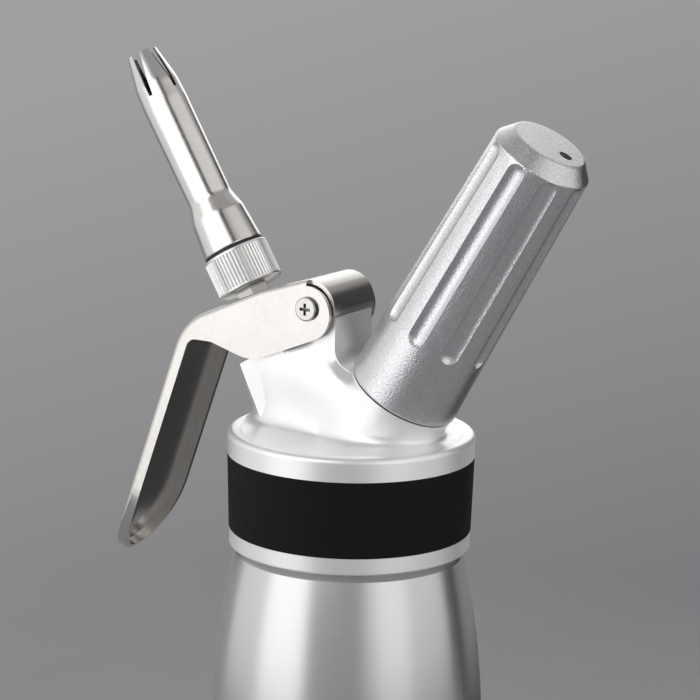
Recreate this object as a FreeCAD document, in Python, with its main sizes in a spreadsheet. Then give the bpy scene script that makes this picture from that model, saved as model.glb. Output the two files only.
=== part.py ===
"""Whipped cream dispenser: steel bottle, cast head with lever valve and nozzle, gas charger in its holder.

Frame: +Z up, origin at the centre of the bottle's base. The valve and its nozzle lean towards -X, with
the lever under them, and the charger holder leans towards +X. All but the pivot's screw is symmetric
about the plane y = 0.
"""
import FreeCAD, Part
import math
import os

import Sketcher

DRIVING = {
    # bottle
    "bottle_rad": (41.0, "largest radius of the bottle"),
    "bottle_wall": (1.0, "steel thickness of the bottle"),
    "belly_z": (85.0, "height where the bottle starts to narrow"),
    "shoulder_z": (147.6, "height of the bottle's shoulder"),
    "shoulder_drop": (1.6, "height of the bevel at the shoulder's edge"),
    "neck_rad": (30.4, "radius of the bottle's neck over the thread"),
    "shoulder_step": (3.51, "how much wider than the neck the bottle is where its taper ends"),
    "mouth_drop": (7.5, "depth of the bottle's rim under the upper edge of the grip band"),
    "foot_round": (6.0, "rounding between the bottle's side and base"),
    "foot_step": (10.0, "step from the bottle's side in to the ring that it stands on"),
    "kick_up": (3.0, "rise of the middle of the base"),
    # head casting
    "skirt_z": (148.5, "lower edge of the head's skirt"),
    "skirt_rad": (35.7, "radius of the ring under the grip band"),
    "band_low_z": (153.5, "lower edge of the grip band"),
    "band_top_z": (176.0, "upper edge of the grip band"),
    "band_rad": (36.5, "radius of the grip band at its top"),
    "band_taper": (0.6, "how much narrower the band is at its lower edge"),
    "band_depth": (1.8, "thickness of the band at its top"),
    "rim_rad": (36.5, "radius of the head's rim over the band"),
    "rim_height": (6.9, "height of the rim over the band"),
    "rim_round": (1.6, "rounding of the rim's edge"),
    "rim_width": (3.4, "width of the raised rim"),
    "dish_depth": (0.9, "how far the head's top lies under its rim"),
    "ceiling_drop": (1.0, "depth of the head's underside, inside the skirt, under that upper edge"),
    "cavity_rad": (25.5, "radius of the hollow over the gasket"),
    "gasket_depth": (2.4, "thickness of the head gasket"),
    "gasket_rad": (26.0, "inner radius of the head gasket"),
    # valve line: tower, stem, collar and nozzle on one leaning axis
    "valve_tilt": (31.5, "lean of the valve and nozzle, in degrees"),
    "tower_x": (-25.7, "x of the centre of the tower's top"),
    "tower_rise": (28.2, "height of the centre of the tower's top over the band"),
    "tower_rad": (13.7, "radius of the valve tower at its top"),
    "tower_spread": (2.0, "how much wider the tower is at its root"),
    "seat_depth": (39.0, "distance from the tower's top down to the valve seat"),
    "seat_rad": (7.6, "radius of the boss around the valve seat"),
    "valve_bore": (5.0, "radius of the bore around the stem"),
    "stem_rad": (3.6, "radius of the piston's stem"),
    "stem_neck": (3.0, "radius of the stem's threaded upper end"),
    "stem_bore": (1.9, "radius of the bore in the stem"),
    "gland_depth": (8.0, "length of the gland nut in the tower"),
    "gland_rad": (7.2, "radius of the gland nut's thread"),
    "gland_flange": (8.6, "radius of the gland nut's flange"),
    "flange_depth": (1.2, "thickness of the gland nut's flange"),
    "ring_room": (3.4, "height of the groove for the stem's O-ring"),
    "ring_bore": (6.0, "radius of the groove for the stem's O-ring"),
    "cap_gap": (14.7, "distance from the tower's top to the top of the spring cap"),
    "cap_rad": (9.0, "radius of the spring cap"),
    "cap_depth": (1.5, "thickness of the spring cap"),
    "poppet_rad": (6.4, "radius of the poppet at the stem's lower end"),
    "poppet_depth": (3.0, "thickness of the poppet"),
    "poppet_bevel": (1.0, "bevel of the poppet's lower edge"),
    "seal_depth": (1.5, "thickness of the valve seal"),
    "nut_flat": (4.6, "half the width across the flats of the piston's hex neck"),
    "collar_gap": (20.0, "distance from the tower's top to the collar's lower face"),
    "collar_rad": (10.0, "radius of the knurled collar"),
    "collar_length": (11.8, "length of the knurled collar"),
    "collar_socket": (7.2, "radius of the socket in the collar's upper end"),
    "socket_depth": (6.5, "depth of the socket in the collar's upper end"),
    "knurl_depth": (0.45, "depth of the collar's knurl"),
    "knurl_spread": (0.9, "half the width of a groove of the knurl, as a share of its depth"),
    "knurl_count": (56, "number of grooves in the collar's knurl"),
    "wire_rad": (0.6, "radius of the spring's wire"),
    "coil_rad": (5.9, "radius of the spring, to the middle of its wire"),
    "coil_turns": (4.5, "number of turns of the spring"),
    # decorator nozzle
    "nozzle_seal": (0.8, "thickness of the seal ring under the nozzle"),
    "nozzle_base": (9.35, "radius of the nozzle's lower edge"),
    "nozzle_shoulder": (8.4, "radius of the nozzle at its shoulder"),
    "shoulder_up": (11.3, "height of the nozzle's shoulder over its lower edge"),
    "nozzle_waist": (6.85, "radius of the nozzle over its shoulder"),
    "waist_up": (16.6, "height of the nozzle's waist over its lower edge"),
    "barrel_rad": (7.0, "radius of the nozzle's barrel near its mouth"),
    "barrel_up": (49.0, "height where the barrel starts to close"),
    "lip_rad": (6.7, "radius of the nozzle at the root of its slots"),
    "lip_up": (55.5, "height of that root over the nozzle's lower edge"),
    "mouth_rad": (4.75, "radius of the nozzle's mouth"),
    "nozzle_length": (65.6, "length of the nozzle over its seal"),
    "nozzle_wall": (0.9, "wall of the nozzle"),
    "shoulder_round": (5.0, "rounding of the nozzle at its shoulder and waist"),
    "barrel_round": (20.0, "rounding where the barrel starts to close"),
    "lip_round": (12.0, "rounding of the barrel at the root of its slots"),
    "nozzle_spigot": (6.0, "length of the nozzle's spigot in the collar"),
    "slot_count": (5, "number of slots in the nozzle's mouth"),
    "slot_length": (14.0, "length of the slots"),
    "slot_mouth": (3.3, "width of a slot at the mouth"),
    "slot_root": (1.2, "width of a slot at its root"),
    "slot_turn": (46.0, "angle of the first slot, in degrees"),
    # charger line: boss, holder and charger on the other leaning axis
    "charger_tilt": (30.7, "lean of the charger holder, in degrees"),
    "holder_x": (17.7, "x of the centre of the holder's lower edge"),
    "holder_rise": (20.9, "height of that centre over the band"),
    "holder_base": (16.6, "radius of the holder at its lower edge"),
    "holder_top": (14.5, "radius of the holder under its bevel"),
    "holder_flat": (10.9, "radius of the holder's flat end"),
    "bevel_height": (4.4, "height of the bevel round the flat end"),
    "bevel_round": (1.1, "rounding of the bevel's two edges"),
    "holder_length": (87.7, "length of the holder"),
    "boss_rad": (16.2, "radius of the boss under the holder"),
    "holder_seal": (0.5, "thickness of the seal ring under the holder"),
    "spigot_rad": (11.3, "radius of the threaded spigot in the holder"),
    "spigot_length": (20.0, "length of that spigot"),
    "charger_rad": (8.9, "radius of the gas charger"),
    "charger_length": (65.0, "length of the gas charger"),
    "charger_neck": (4.4, "radius of the charger's neck"),
    "charger_wall": (1.2, "wall of the charger"),
    "charger_mouth": (1.5, "radius of the hole in the charger's cap"),
    "charger_round": (1.0, "rounding between the charger's neck and shoulder"),
    "charger_play": (0.5, "room around the charger in its holder"),
    "flute_count": (9, "number of flutes in the holder"),
    "flute_rad": (4.2, "radius of the ball-ended cutter of a flute"),
    "flute_depth": (1.2, "depth of a flute"),
    "flute_start": (19.8, "distance from the holder's lower edge to the first end of a flute"),
    "flute_end": (84.4, "distance from the holder's lower edge to the other end of a flute"),
    "flute_turn": (-6.0, "angle of the first flute, in degrees"),
    "vent_rad": (1.95, "radius of the vent hole in the holder's end"),
    "vent_offset": (5.6, "distance of the vent hole from the holder's axis"),
    "plug_rad": (5.0, "radius of the piercing pin's holder"),
    "pin_rad": (1.0, "radius of the piercing pin"),
    "gas_rad": (1.5, "radius of the gas channel"),
    "check_x": (9.5, "x of the non-return valve"),
    "check_rad": (4.5, "radius of the non-return valve's nut"),
    # lever and its pivot
    "pivot_x": (-8.0, "x of the lever's pivot"),
    "pivot_rise": (43.8, "height of the lever's pivot over the band"),
    "post_half": (10.0, "half the width of the lever post"),
    "lever_half": (12.7, "half the outer width of the lever"),
    "sheet": (1.2, "thickness of the lever's sheet"),
    "hood_rad": (8.3, "outer radius of the hood over the post"),
    "hood_half": (10.9, "half the width of the hood"),
    "cheek_gap": (0.3, "room between the lever's cheeks and the flats of the tower"),
    "hood_gap": (0.5, "room between the hood and the post"),
    "pin_shank": (2.5, "radius of the pivot pin"),
    "pin_head": (3.55, "radius of the pivot pin's and screw's heads"),
    "head_depth": (1.2, "height of those heads"),
    "bush_wall": (1.0, "wall of the pivot bush"),
    "washer_rad": (5.5, "radius of the thrust washers"),
    "edge_round": (0.5, "rounding of small turned edges"),
    "foot_root": (1.0, "how far over the ceiling the casting's inner outlines start"),
    "web_inset": (2.0, "overlap of the casting's joined shapes"),
    "post_inset": (0.3, "step from the hood's outside in to the post's back"),
    "hood_dip": (0.23, "share of the hood's radius that its lower edge lies under the pivot"),
    "saddle_round": (6.0, "rounding between the post's back and the charger boss"),
    "tower_root": (36.0, "length of the tower down into the head"),
    "wall_start": (7.7, "distance behind the tower's centre where the casting's side walls start"),
    "wall_drop": (2.2, "depth of the walls' top there under the tower's centre"),
    "wall_end": (4.2, "distance in front of the holder's centre where the side walls end"),
    "wall_rise": (1.5, "height of the walls' top there over the holder's centre"),
    "wall_inset": (0.7, "step from the boss's side in to the walls' ends"),
    "seat_root": (12.0, "length of the valve seat's boss"),
    "boss_root": (29.0, "length of the charger boss down into the head"),
    "plug_low": (2.0, "distance from the holder's edge up to the pin holder"),
    "check_depth": (5.0, "depth of the non-return valve's bore"),
    "port_inset": (0.4, "how much smaller the piston's side ports are than its bore"),
    "knurl_inset": (0.8, "distance of the knurl from the collar's ends"),
    "plug_length": (9.0, "length of the pin holder"),
    "gasket_room": (2.0, "distance from the pin holder up to the charger"),
    "neck_length": (9.0, "length of the charger's neck"),
    "flap_depth": (1.0, "thickness of the non-return valve's flap"),
    "flap_room": (0.5, "room around that flap"),
    "check_lip": (1.0, "thickness of the flange of the non-return valve's nut"),
    "thread_share": (0.6, "radius of the pivot screw's thread as a share of the pin's"),
    "screw_gap": (2.0, "distance from the middle of the pin to the screw's end"),
    "cross_width": (0.9, "width of the cross recess in the screw's head"),
    "cross_depth": (0.8, "depth of that recess"),
    "web_slope": (18.0, "slope of the lever's web behind the pivot, in degrees"),
    "web_fall": (24.0, "slope of the web further out, in degrees"),
    "web_mark_out": (27.0, "distance in front of the pivot of a point on the outer web"),
    "web_mark_up": (-1.2, "height of that point over the pivot"),
    "web_round": (40.0, "radius of the web's gentle bend"),
    "elbow_round": (18.0, "radius of the bend between web and handle"),
    "handle_lean": (19.6, "angle between the handle and the upright, in degrees"),
    "handle_out": (56.1, "distance in front of the pivot of a point on the handle's outer face"),
    "handle_down": (40.9, "depth of that point under the pivot"),
    "wall_depth": (4.2, "depth of the handle's side walls"),
    "flare_start": (24.8, "distance along the handle from that point to the start of its outward curve"),
    "flare_rad": (65.0, "radius of the outward curve of the handle's end"),
    "scoop_start": (-2.0, "distance from there to the start of the rounded end"),
    "scoop_length": (26.0, "length of the rounded end"),
    "bend_round": (1.5, "outer radius of the sheet's bends"),
    "bend_share": (0.94, "largest share of the step behind the web that a bend takes"),
    "cheek_back": (0.5, "distance from the pivot to the middle of the cheeks' round ends"),
    "cheek_down": (1.4, "depth of that middle under the pivot"),
    "cheek_rad": (8.1, "radius of the cheeks' round ends"),
    "cheek_slope": (22.5, "slope of the cheeks' lower edge, in degrees"),
    "belly_run": (24.0, "length of that edge"),
    "belly_round": (14.0, "rounding of the cheeks' lowest corner"),
    "root_slope": (16.0, "rise of the cheeks' edge towards the handle, in degrees"),
    "root_run": (15.0, "length of that rising edge"),
    "root_round": (3.5, "rounding between the cheeks' edge and the handle's wall"),
    "hood_turn": (11.0, "angle that the hood reaches under the level of the pivot behind it, in degrees"),
    "slot_shift": (0.8, "distance of the web slot's middle up the web from the valve line"),
    "web_slot_run": (1.8, "half the straight length of the slot in the web"),
    "web_slot_half": (5.8, "half the width of the slot in the web"),
    # clearances
    "running": (0.06, "radial clearance of a shaft that turns or slides"),
    "seat_gap": (0.1, "gap between faces that meet and part again"),
    "overshoot": (1.0, "how far a cutting shape reaches past the piece that it cuts"),
}

doc = FreeCAD.newDocument("whipped_cream_dispenser")
sheet = doc.addObject("Spreadsheet::Sheet", "Sizes")


class Size:
    """A number together with the spreadsheet expression that gives it."""

    def __init__(self, value, text):
        self.value = float(value)
        self.text = text

    def __float__(self):
        return self.value

    def __add__(self, other):
        return joined(self, "+", other)

    def __radd__(self, other):
        return joined(other, "+", self)

    def __sub__(self, other):
        return joined(self, "-", other)

    def __rsub__(self, other):
        return joined(other, "-", self)

    def __mul__(self, other):
        return joined(self, "*", other)

    def __rmul__(self, other):
        return joined(other, "*", self)

    def __truediv__(self, other):
        return joined(self, "/", other)

    def __neg__(self):
        return joined(0, "-", self)


def as_size(number):
    return number if isinstance(number, Size) else Size(number, repr(float(number)))


def joined(left, sign, right):
    left = as_size(left)
    right = as_size(right)
    if sign == "+":
        value = left.value + right.value
    elif sign == "-":
        value = left.value - right.value
    elif sign == "*":
        value = left.value * right.value
    else:
        value = left.value / right.value
    return Size(value, f"({left.text} {sign} {right.text})")


def root(number):
    return Size(math.sqrt(number.value), f"sqrt({number.text})")


class Sizes:
    """The spreadsheet's cells, each under its alias."""

    row = 0

    def cell(self, alias, content, value, note):
        self.row += 1
        sheet.set(f"A{self.row}", alias)
        sheet.set(f"B{self.row}", content)
        sheet.setAlias(f"B{self.row}", alias)
        sheet.set(f"C{self.row}", note)
        setattr(self, alias, Size(value, f"Sizes.{alias}"))

    def derive(self, alias, size, note):
        """A cell that is worked out from cells above it."""
        self.cell(alias, "=" + size.text.replace("Sizes.", ""), size.value, note)


s = Sizes()
for driving_alias, (driving_value, driving_note) in DRIVING.items():
    s.cell(driving_alias, str(driving_value), driving_value, driving_note)


def lean_sizes(name, angle, note):
    """Cells for the sine and cosine of an angle in degrees."""
    turn = math.radians(angle.value)
    s.derive(name + "_sin", Size(math.sin(turn), f"sin({angle.text})"), note + ", sine")
    s.derive(name + "_cos", Size(math.cos(turn), f"cos({angle.text})"), note + ", cosine")


lean_sizes("valve", s.valve_tilt, "lean of the valve line")
lean_sizes("charger", s.charger_tilt, "lean of the charger line")
s.derive("foot_rad", s.bottle_rad - s.foot_step, "radius of the ring that the bottle stands on")
s.derive("taper_top", s.shoulder_z - s.shoulder_drop, "height where the bottle's taper ends")
s.derive("taper_rise", s.taper_top - s.belly_z, "height of the bottle's taper")
s.derive("taper_drop", s.bottle_rad - s.neck_rad - s.shoulder_step, "how much the taper narrows the bottle")
s.derive("taper_rad", (s.taper_rise * s.taper_rise + s.taper_drop * s.taper_drop) / (2 * s.taper_drop),
         "radius of the arc that narrows the bottle")
s.derive("mouth_z", s.band_top_z - s.mouth_drop, "height of the bottle's rim")
s.derive("ceiling_z", s.band_top_z - s.ceiling_drop, "height of the head's underside, inside the skirt")
s.derive("tower_z", s.band_top_z + s.tower_rise, "height of the centre of the tower's top")
s.derive("holder_z", s.band_top_z + s.holder_rise, "height of the centre of the holder's lower edge")
s.derive("pivot_z", s.band_top_z + s.pivot_rise, "height of the lever's pivot")
s.derive("rim_z", s.band_top_z + s.rim_height, "height of the head's rim")
s.derive("dish_z", s.rim_z - s.dish_depth, "height of the head's top inside its rim")
s.derive("gasket_z", s.mouth_z + s.seat_gap, "height of the gasket's lower face")
s.derive("seat_z", s.gasket_z + s.gasket_depth, "height of the gasket's seat in the head")
s.derive("post_rad", s.hood_rad - s.sheet - s.hood_gap, "radius of the post's round top")
s.derive("bush_rad", s.pin_shank + s.running + s.bush_wall, "outer radius of the pivot bush")
s.derive("band_seat", s.band_rad - s.band_depth, "radius of the head under the grip band")
s.derive("cap_low", s.cap_gap - s.cap_depth, "distance from the tower's top to the spring cap's lower face")
s.derive("stem_top", s.collar_gap + s.collar_length - s.socket_depth - s.seat_gap, "upper end of the stem")
s.derive("poppet_face", s.seat_depth + s.seat_gap + s.seal_depth, "depth of the poppet's upper face")
s.derive("plug_high", s.plug_low + s.plug_length, "upper end of the pin holder")
s.derive("charger_low", s.plug_high + s.gasket_room, "lower end of the gas charger")
sheet.recompute()


class Bow:
    """Makes the edge after it an arc. Its centre lies left of the way the outline runs, or right of it."""

    def __init__(self, radius, left=True):
        self.radius = as_size(radius)
        self.left = left


def vector(x, y, z=0):
    return FreeCAD.Vector(float(x), float(y), float(z))


def base_plane(body, role):
    return next(item for item in body.Origin.OriginFeatures if item.Role == role)


def bow_arc(start, end, bow):
    """The arc between two points, and whether it starts at the first of them."""
    middle = (start + end) * 0.5
    chord = end - start
    left_hand = vector(-chord.y, chord.x).normalize()
    reach = math.sqrt(bow.radius.value ** 2 - (chord.Length / 2) ** 2)
    centre = middle + left_hand * (reach if bow.left else -reach)
    first, last = (start, end) if bow.left else (end, start)
    angles = [math.atan2(point.y - centre.y, point.x - centre.x) for point in (first, last)]
    if angles[1] < angles[0]:
        angles[1] += 2 * math.pi
    circle = Part.Circle(centre, vector(0, 0, 1), bow.radius.value)
    return Part.ArcOfCircle(circle, angles[0], angles[1]), bow.left


def outline(body, name, plane, path):
    """A closed sketch through corners (x, y) or (x, y, rounding), with a Bow before a curved edge."""
    sketch = body.newObject("Sketcher::SketchObject", name)
    sketch.AttachmentSupport = (base_plane(body, plane), [""])
    sketch.MapMode = "FlatFace"
    corners = []
    bows = {}
    for item in path:
        if isinstance(item, Bow):
            bows[len(corners) - 1] = item
        else:
            corners.append(tuple(as_size(number) for number in item))
    count = len(corners)
    points = [vector(corner[0], corner[1]) for corner in corners]
    starts = list(points)
    ends = [points[(index + 1) % count] for index in range(count)]
    rounds = {}
    for index, corner in enumerate(corners):
        if len(corner) < 3:
            continue
        before = (points[index - 1] - points[index]).normalize()
        after = (points[(index + 1) % count] - points[index]).normalize()
        half = before.getAngle(after) / 2
        setback = corner[2].value / math.tan(half)
        ends[index - 1] = points[index] + before * setback
        starts[index] = points[index] + after * setback
        centre = points[index] + (before + after).normalize() * (corner[2].value / math.sin(half))
        rounds[index] = (centre, before.cross(after).z < 0)
    shapes = []
    edges = []
    for index in range(count):
        if index in bows:
            shape, forward = bow_arc(starts[index], ends[index], bows[index])
        else:
            shape, forward = Part.LineSegment(starts[index], ends[index]), True
        edges.append((len(shapes), 1 if forward else 2, 2 if forward else 1))
        shapes.append(shape)
    rules = []
    bound = []

    def rule(*terms, size=None):
        rules.append(Sketcher.Constraint(*terms))
        if size is not None:
            bound.append((len(rules) - 1, size.text))

    def pin(geometry, point, corner):
        """Ties a point of the sketch to the x and y of a corner."""
        for kind, size, axis in (("DistanceX", corner[0], -2), ("DistanceY", corner[1], -1)):
            if size.text == "0.0":
                rule("PointOnObject", geometry, point, axis)
            else:
                rule(kind, -1, 1, geometry, point, size.value, size=size)

    markers = []
    for index in range(count):
        arriving, _, arrival = edges[index - 1]
        leaving, departure, _ = edges[index]
        if index not in rounds:
            rule("Coincident", arriving, arrival, leaving, departure)
            pin(leaving, departure, corners[index])
            continue
        centre, turns_left = rounds[index]
        bend = Bow(corners[index][2], turns_left)
        arc, forward = bow_arc(ends[index - 1], starts[index], bend)
        arc_id = len(shapes)
        shapes.append(arc)
        rule("Tangent", arriving, arrival, arc_id, 1 if forward else 2)
        rule("Tangent", arc_id, 2 if forward else 1, leaving, departure)
        rule("Radius", arc_id, bend.radius.value, size=bend.radius)
        marker = len(shapes)
        shapes.append(Part.Point(points[index]))
        markers.append(marker)
        rule("PointOnObject", marker, 1, arriving)
        rule("PointOnObject", marker, 1, leaving)
        pin(marker, 1, corners[index])
    for index, bow in bows.items():
        rule("Radius", edges[index][0], bow.radius.value, size=bow.radius)
    sketch.addGeometry(shapes, False)
    for marker in markers:
        sketch.setConstruction(marker, True)
    sketch.addConstraint(rules)
    for number, text in bound:
        sketch.setExpression(f"Constraints[{number}]", text)
    return sketch


LEAN_BACK = FreeCAD.Vector(0, -1, 0)
LEAN_FORTH = FreeCAD.Vector(0, 1, 0)
LEAN_SIDE = FreeCAD.Vector(-1, 0, 0)
UPRIGHT = FreeCAD.Vector(0, 0, 1)
QUARTER = 90
HEX_SIDES = 6
# Points closer than this are one place, and a mark nearer than this to a side lies on it.
SAME_PLACE = 0.001
# Shares of an edge's length where it is looked at, and how many times a size a cutting shape reaches past.
EDGE_MARKS = (0.1, 0.3, 0.9)
FAR_TIMES = 3


def put(item, x=0, y=0, z=0, angle=0, axis=LEAN_FORTH):
    """Places an object, with its place and turn bound to the sheet."""
    item.Placement = FreeCAD.Placement(vector(x, y, z), FreeCAD.Rotation(axis, float(angle)))
    places = {"Base.x": x, "Base.y": y, "Base.z": z, "Rotation.Angle": angle}
    for path, size in places.items():
        if isinstance(size, Size):
            item.setExpression("Placement." + path, size.text)
    return item


def on_valve_line(item):
    """Puts a piece on the valve's axis, its own z = 0 at the tower's top."""
    return put(item, x=s.tower_x, z=s.tower_z, angle=s.valve_tilt, axis=LEAN_BACK)


def on_charger_line(item):
    """Puts a piece on the charger's axis, its own z = 0 at the holder's lower edge."""
    return put(item, x=s.holder_x, z=s.holder_z, angle=s.charger_tilt, axis=LEAN_FORTH)


def new_body(name):
    body = doc.addObject("PartDesign::Body", name)
    body.Label = name
    return body


def bind(item, **sizes):
    """Binds properties of an object to sizes."""
    for path, size in sizes.items():
        size = as_size(size)
        setattr(item, path, size.value)
        if "Sizes." in size.text:
            item.setExpression(path, size.text)
    return item


def turned(name, path):
    """A body of revolution about its own Z axis, from a path of (radius, height) corners."""
    body = new_body(name)
    profile = outline(body, name + "_profile", "XZ_Plane", path)
    turn = body.newObject("PartDesign::Revolution", name + "_turn")
    turn.Profile = profile
    turn.ReferenceAxis = (profile, ["V_Axis"])
    turn.Angle = 360
    return body


def repeated(body, feature, name, count):
    """Repeats a feature of a body round the body's Z axis."""
    axis = base_plane(body, "Z_Axis")
    pattern = body.newObject("PartDesign::PolarPattern", name)
    pattern.Originals = [feature]
    pattern.Axis = (axis, [""])
    pattern.Angle = 360
    pattern.Occurrences = int(count.value)
    pattern.setExpression("Occurrences", count.text)
    body.Tip = pattern
    return pattern


def ring(name, inner, outer, low, high):
    """A flat ring between two radii and two heights."""
    return turned(name, [(inner, low), (outer, low), (outer, high), (inner, high)])


def round_block(body, kind, name, radius, height, **where):
    """A cylinder that is added to a body or cut from it."""
    block = body.newObject(f"PartDesign::{kind}Cylinder", name)
    bind(block, Radius=radius, Height=height)
    return put(block, **where)



def down_valve_line(depth):
    """Place of a cylinder whose lower end lies on the valve line, a distance below the tower's top."""
    return {"x": s.tower_x + depth * s.valve_sin, "z": s.tower_z - depth * s.valve_cos,
            "angle": s.valve_tilt, "axis": LEAN_BACK}


def down_charger_line(depth):
    """Place of a cylinder whose lower end lies on the charger line, a distance below the holder's edge."""
    return {"x": s.holder_x - depth * s.charger_sin, "z": s.holder_z - depth * s.charger_cos,
            "angle": s.charger_tilt, "axis": LEAN_FORTH}


def make_bottle():
    def taper(inset):
        """Radius of the tapering side at its upper end, for the outside or for the inside."""
        arc = s.taper_rad - inset
        return s.bottle_rad - s.taper_rad + root(arc * arc - s.taper_rise * s.taper_rise)

    inside = s.bottle_rad - s.bottle_wall
    edge = taper(0) - s.shoulder_drop
    return turned("bottle", [
        (0, s.kick_up),
        (s.foot_rad - s.kick_up, s.kick_up),
        (s.foot_rad, 0),
        (s.bottle_rad, 0, s.foot_round),
        (s.bottle_rad, s.belly_z),
        Bow(s.taper_rad),
        (taper(0), s.taper_top),
        (edge, s.shoulder_z),
        (s.neck_rad, s.shoulder_z),
        (s.neck_rad, s.mouth_z),
        (s.neck_rad - s.bottle_wall, s.mouth_z),
        (s.neck_rad - s.bottle_wall, s.shoulder_z - s.bottle_wall),
        (edge - s.bottle_wall / 2, s.shoulder_z - s.bottle_wall),
        (taper(s.bottle_wall), s.taper_top - s.bottle_wall / 2),
        Bow(s.taper_rad - s.bottle_wall, left=False),
        (inside, s.belly_z),
        (inside, s.bottle_wall, s.foot_round - s.bottle_wall),
        (s.foot_rad + s.bottle_wall / 2, s.bottle_wall),
        (s.foot_rad - s.kick_up + s.bottle_wall / 2, s.kick_up + s.bottle_wall),
        (0, s.kick_up + s.bottle_wall),
    ])


def make_head():
    body = turned("head_casting", [
        (0, s.ceiling_z),
        (s.cavity_rad, s.ceiling_z),
        (s.cavity_rad, s.seat_z),
        (s.neck_rad + s.running, s.seat_z),
        (s.neck_rad + s.running, s.skirt_z),
        (s.skirt_rad, s.skirt_z, s.edge_round),
        (s.skirt_rad, s.band_low_z),
        (s.band_seat, s.band_low_z),
        (s.band_seat, s.band_top_z),
        (s.rim_rad, s.band_top_z),
        (s.rim_rad, s.rim_z, s.rim_round),
        (s.rim_rad - s.rim_width, s.rim_z, s.dish_depth),
        (s.rim_rad - s.rim_width - 2 * s.dish_depth, s.dish_z, 2 * s.dish_depth),
        (0, s.dish_z),
    ])
    foot_z = s.ceiling_z + s.foot_root
    post_front = s.pivot_x - s.post_rad
    post_back = s.pivot_x + s.hood_rad - s.post_inset
    corner_x = s.tower_x + s.tower_rad * s.valve_cos
    corner_z = s.tower_z + s.tower_rad * s.valve_sin
    saddle_x = s.holder_x - s.boss_rad * s.charger_cos
    saddle_z = s.holder_z + s.boss_rad * s.charger_sin - s.holder_seal - 2 * s.seat_gap
    shoulder = s.hood_rad * s.hood_dip
    side = outline(body, "post_side", "XZ_Plane", [
        (s.tower_x + (s.tower_z - foot_z) * s.valve_sin / s.valve_cos, foot_z),
        (s.tower_x + s.web_inset, s.tower_z - s.web_inset),
        (corner_x - s.web_inset, corner_z - s.web_inset),
        (post_front, corner_z + s.web_inset / 2, s.edge_round),
        (post_front, s.pivot_z),
        Bow(s.post_rad, left=False),
        (s.pivot_x + root(s.post_rad * s.post_rad - shoulder * shoulder), s.pivot_z - shoulder),
        (post_back, s.pivot_z - shoulder, s.edge_round),
        (post_back, saddle_z, s.saddle_round),
        (saddle_x + s.saddle_round, saddle_z - s.saddle_round * s.charger_sin / s.charger_cos),
        (s.check_x, foot_z),
    ])
    post = body.newObject("PartDesign::Pad", "post")
    post.Profile = side
    post.SideType = "Symmetric"
    bind(post, Length=2 * s.post_half)
    tower = body.newObject("PartDesign::AdditiveCone", "tower")
    bind(tower, Radius1=s.tower_rad + s.tower_spread, Radius2=s.tower_rad, Height=s.tower_root)
    put(tower, **down_valve_line(s.tower_root))
    flat_half = s.lever_half - s.sheet - s.cheek_gap
    for name, edge in (("flat_near", -flat_half - s.tower_rad), ("flat_far", flat_half)):
        flat = body.newObject("PartDesign::SubtractiveBox", name)
        bind(flat, Length=4 * s.tower_rad, Width=s.tower_rad, Height=s.tower_root)
        put(flat, x=s.tower_x - 2 * s.tower_rad, y=edge, z=s.rim_z + s.seat_gap)
    wall_half = s.boss_rad - s.wall_inset
    walls = body.newObject("PartDesign::AdditiveWedge", "side_walls")
    bind(walls, Ymin=s.tower_x + s.wall_start, Ymax=s.holder_x - s.wall_end,
         Xmin=-flat_half, Xmax=flat_half, X2min=-wall_half, X2max=wall_half,
         Zmin=foot_z, Zmax=s.tower_z - s.wall_drop, Z2min=foot_z, Z2max=s.holder_z + s.wall_rise)
    put(walls, angle=-QUARTER, axis=UPRIGHT)
    boss_length = s.boss_root - s.holder_seal
    round_block(body, "Additive", "boss", s.boss_rad, boss_length, **down_charger_line(s.boss_root))
    round_block(body, "Subtractive", "cavity", s.cavity_rad, s.ceiling_z - s.skirt_z, z=s.skirt_z)
    round_block(body, "Additive", "seat_boss", s.seat_rad, s.seat_root, **down_valve_line(s.seat_depth))
    poppet_room = s.seal_depth + s.poppet_depth + s.overshoot
    round_block(body, "Subtractive", "poppet_room", s.seat_rad + s.seat_gap, poppet_room,
                **down_valve_line(s.seat_depth + s.seat_gap / 2 + poppet_room))
    round_block(body, "Additive", "spigot", s.spigot_rad, s.spigot_length + s.web_inset,
                **down_charger_line(s.web_inset))
    cuts = (
        ("gland_bore", s.gland_rad + s.running, s.gland_depth + s.seat_gap),
        ("ring_groove", s.ring_bore, s.gland_depth + s.ring_room),
        ("stem_bore_hole", s.valve_bore, s.seat_depth + s.web_inset),
    )
    for name, radius, depth in cuts:
        round_block(body, "Subtractive", name, radius, depth + s.web_inset, **down_valve_line(depth))
    plug_room = s.spigot_length - s.plug_low + s.web_inset
    round_block(body, "Subtractive", "plug_bore", s.plug_rad + s.running, plug_room,
                **down_charger_line(-s.plug_low))
    gas_drop = (s.holder_x - s.check_x) / s.charger_sin
    round_block(body, "Subtractive", "gas_channel", s.gas_rad, gas_drop + s.plug_low + s.web_inset,
                **down_charger_line(gas_drop))
    check_top = s.holder_z - gas_drop * s.charger_cos
    round_block(body, "Subtractive", "check_channel", s.gas_rad, check_top - s.ceiling_z + s.gas_rad,
                x=s.check_x, z=s.ceiling_z - s.web_inset / 2)
    round_block(body, "Subtractive", "check_bore", s.check_rad + s.running, s.check_depth + s.web_inset,
                x=s.check_x, z=s.ceiling_z - s.web_inset)
    bore_half = s.post_half + s.overshoot
    round_block(body, "Subtractive", "pivot_bore", s.bush_rad + s.running, 2 * bore_half,
                x=s.pivot_x, y=-bore_half, z=s.pivot_z, angle=QUARTER, axis=LEAN_SIDE)
    return body


def make_band():
    inner = s.band_seat + s.running
    return turned("grip_band", [
        (inner, s.band_low_z),
        (s.band_rad - s.band_taper, s.band_low_z, s.edge_round),
        (s.band_rad, s.band_top_z, s.edge_round),
        (inner, s.band_top_z),
    ])


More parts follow.
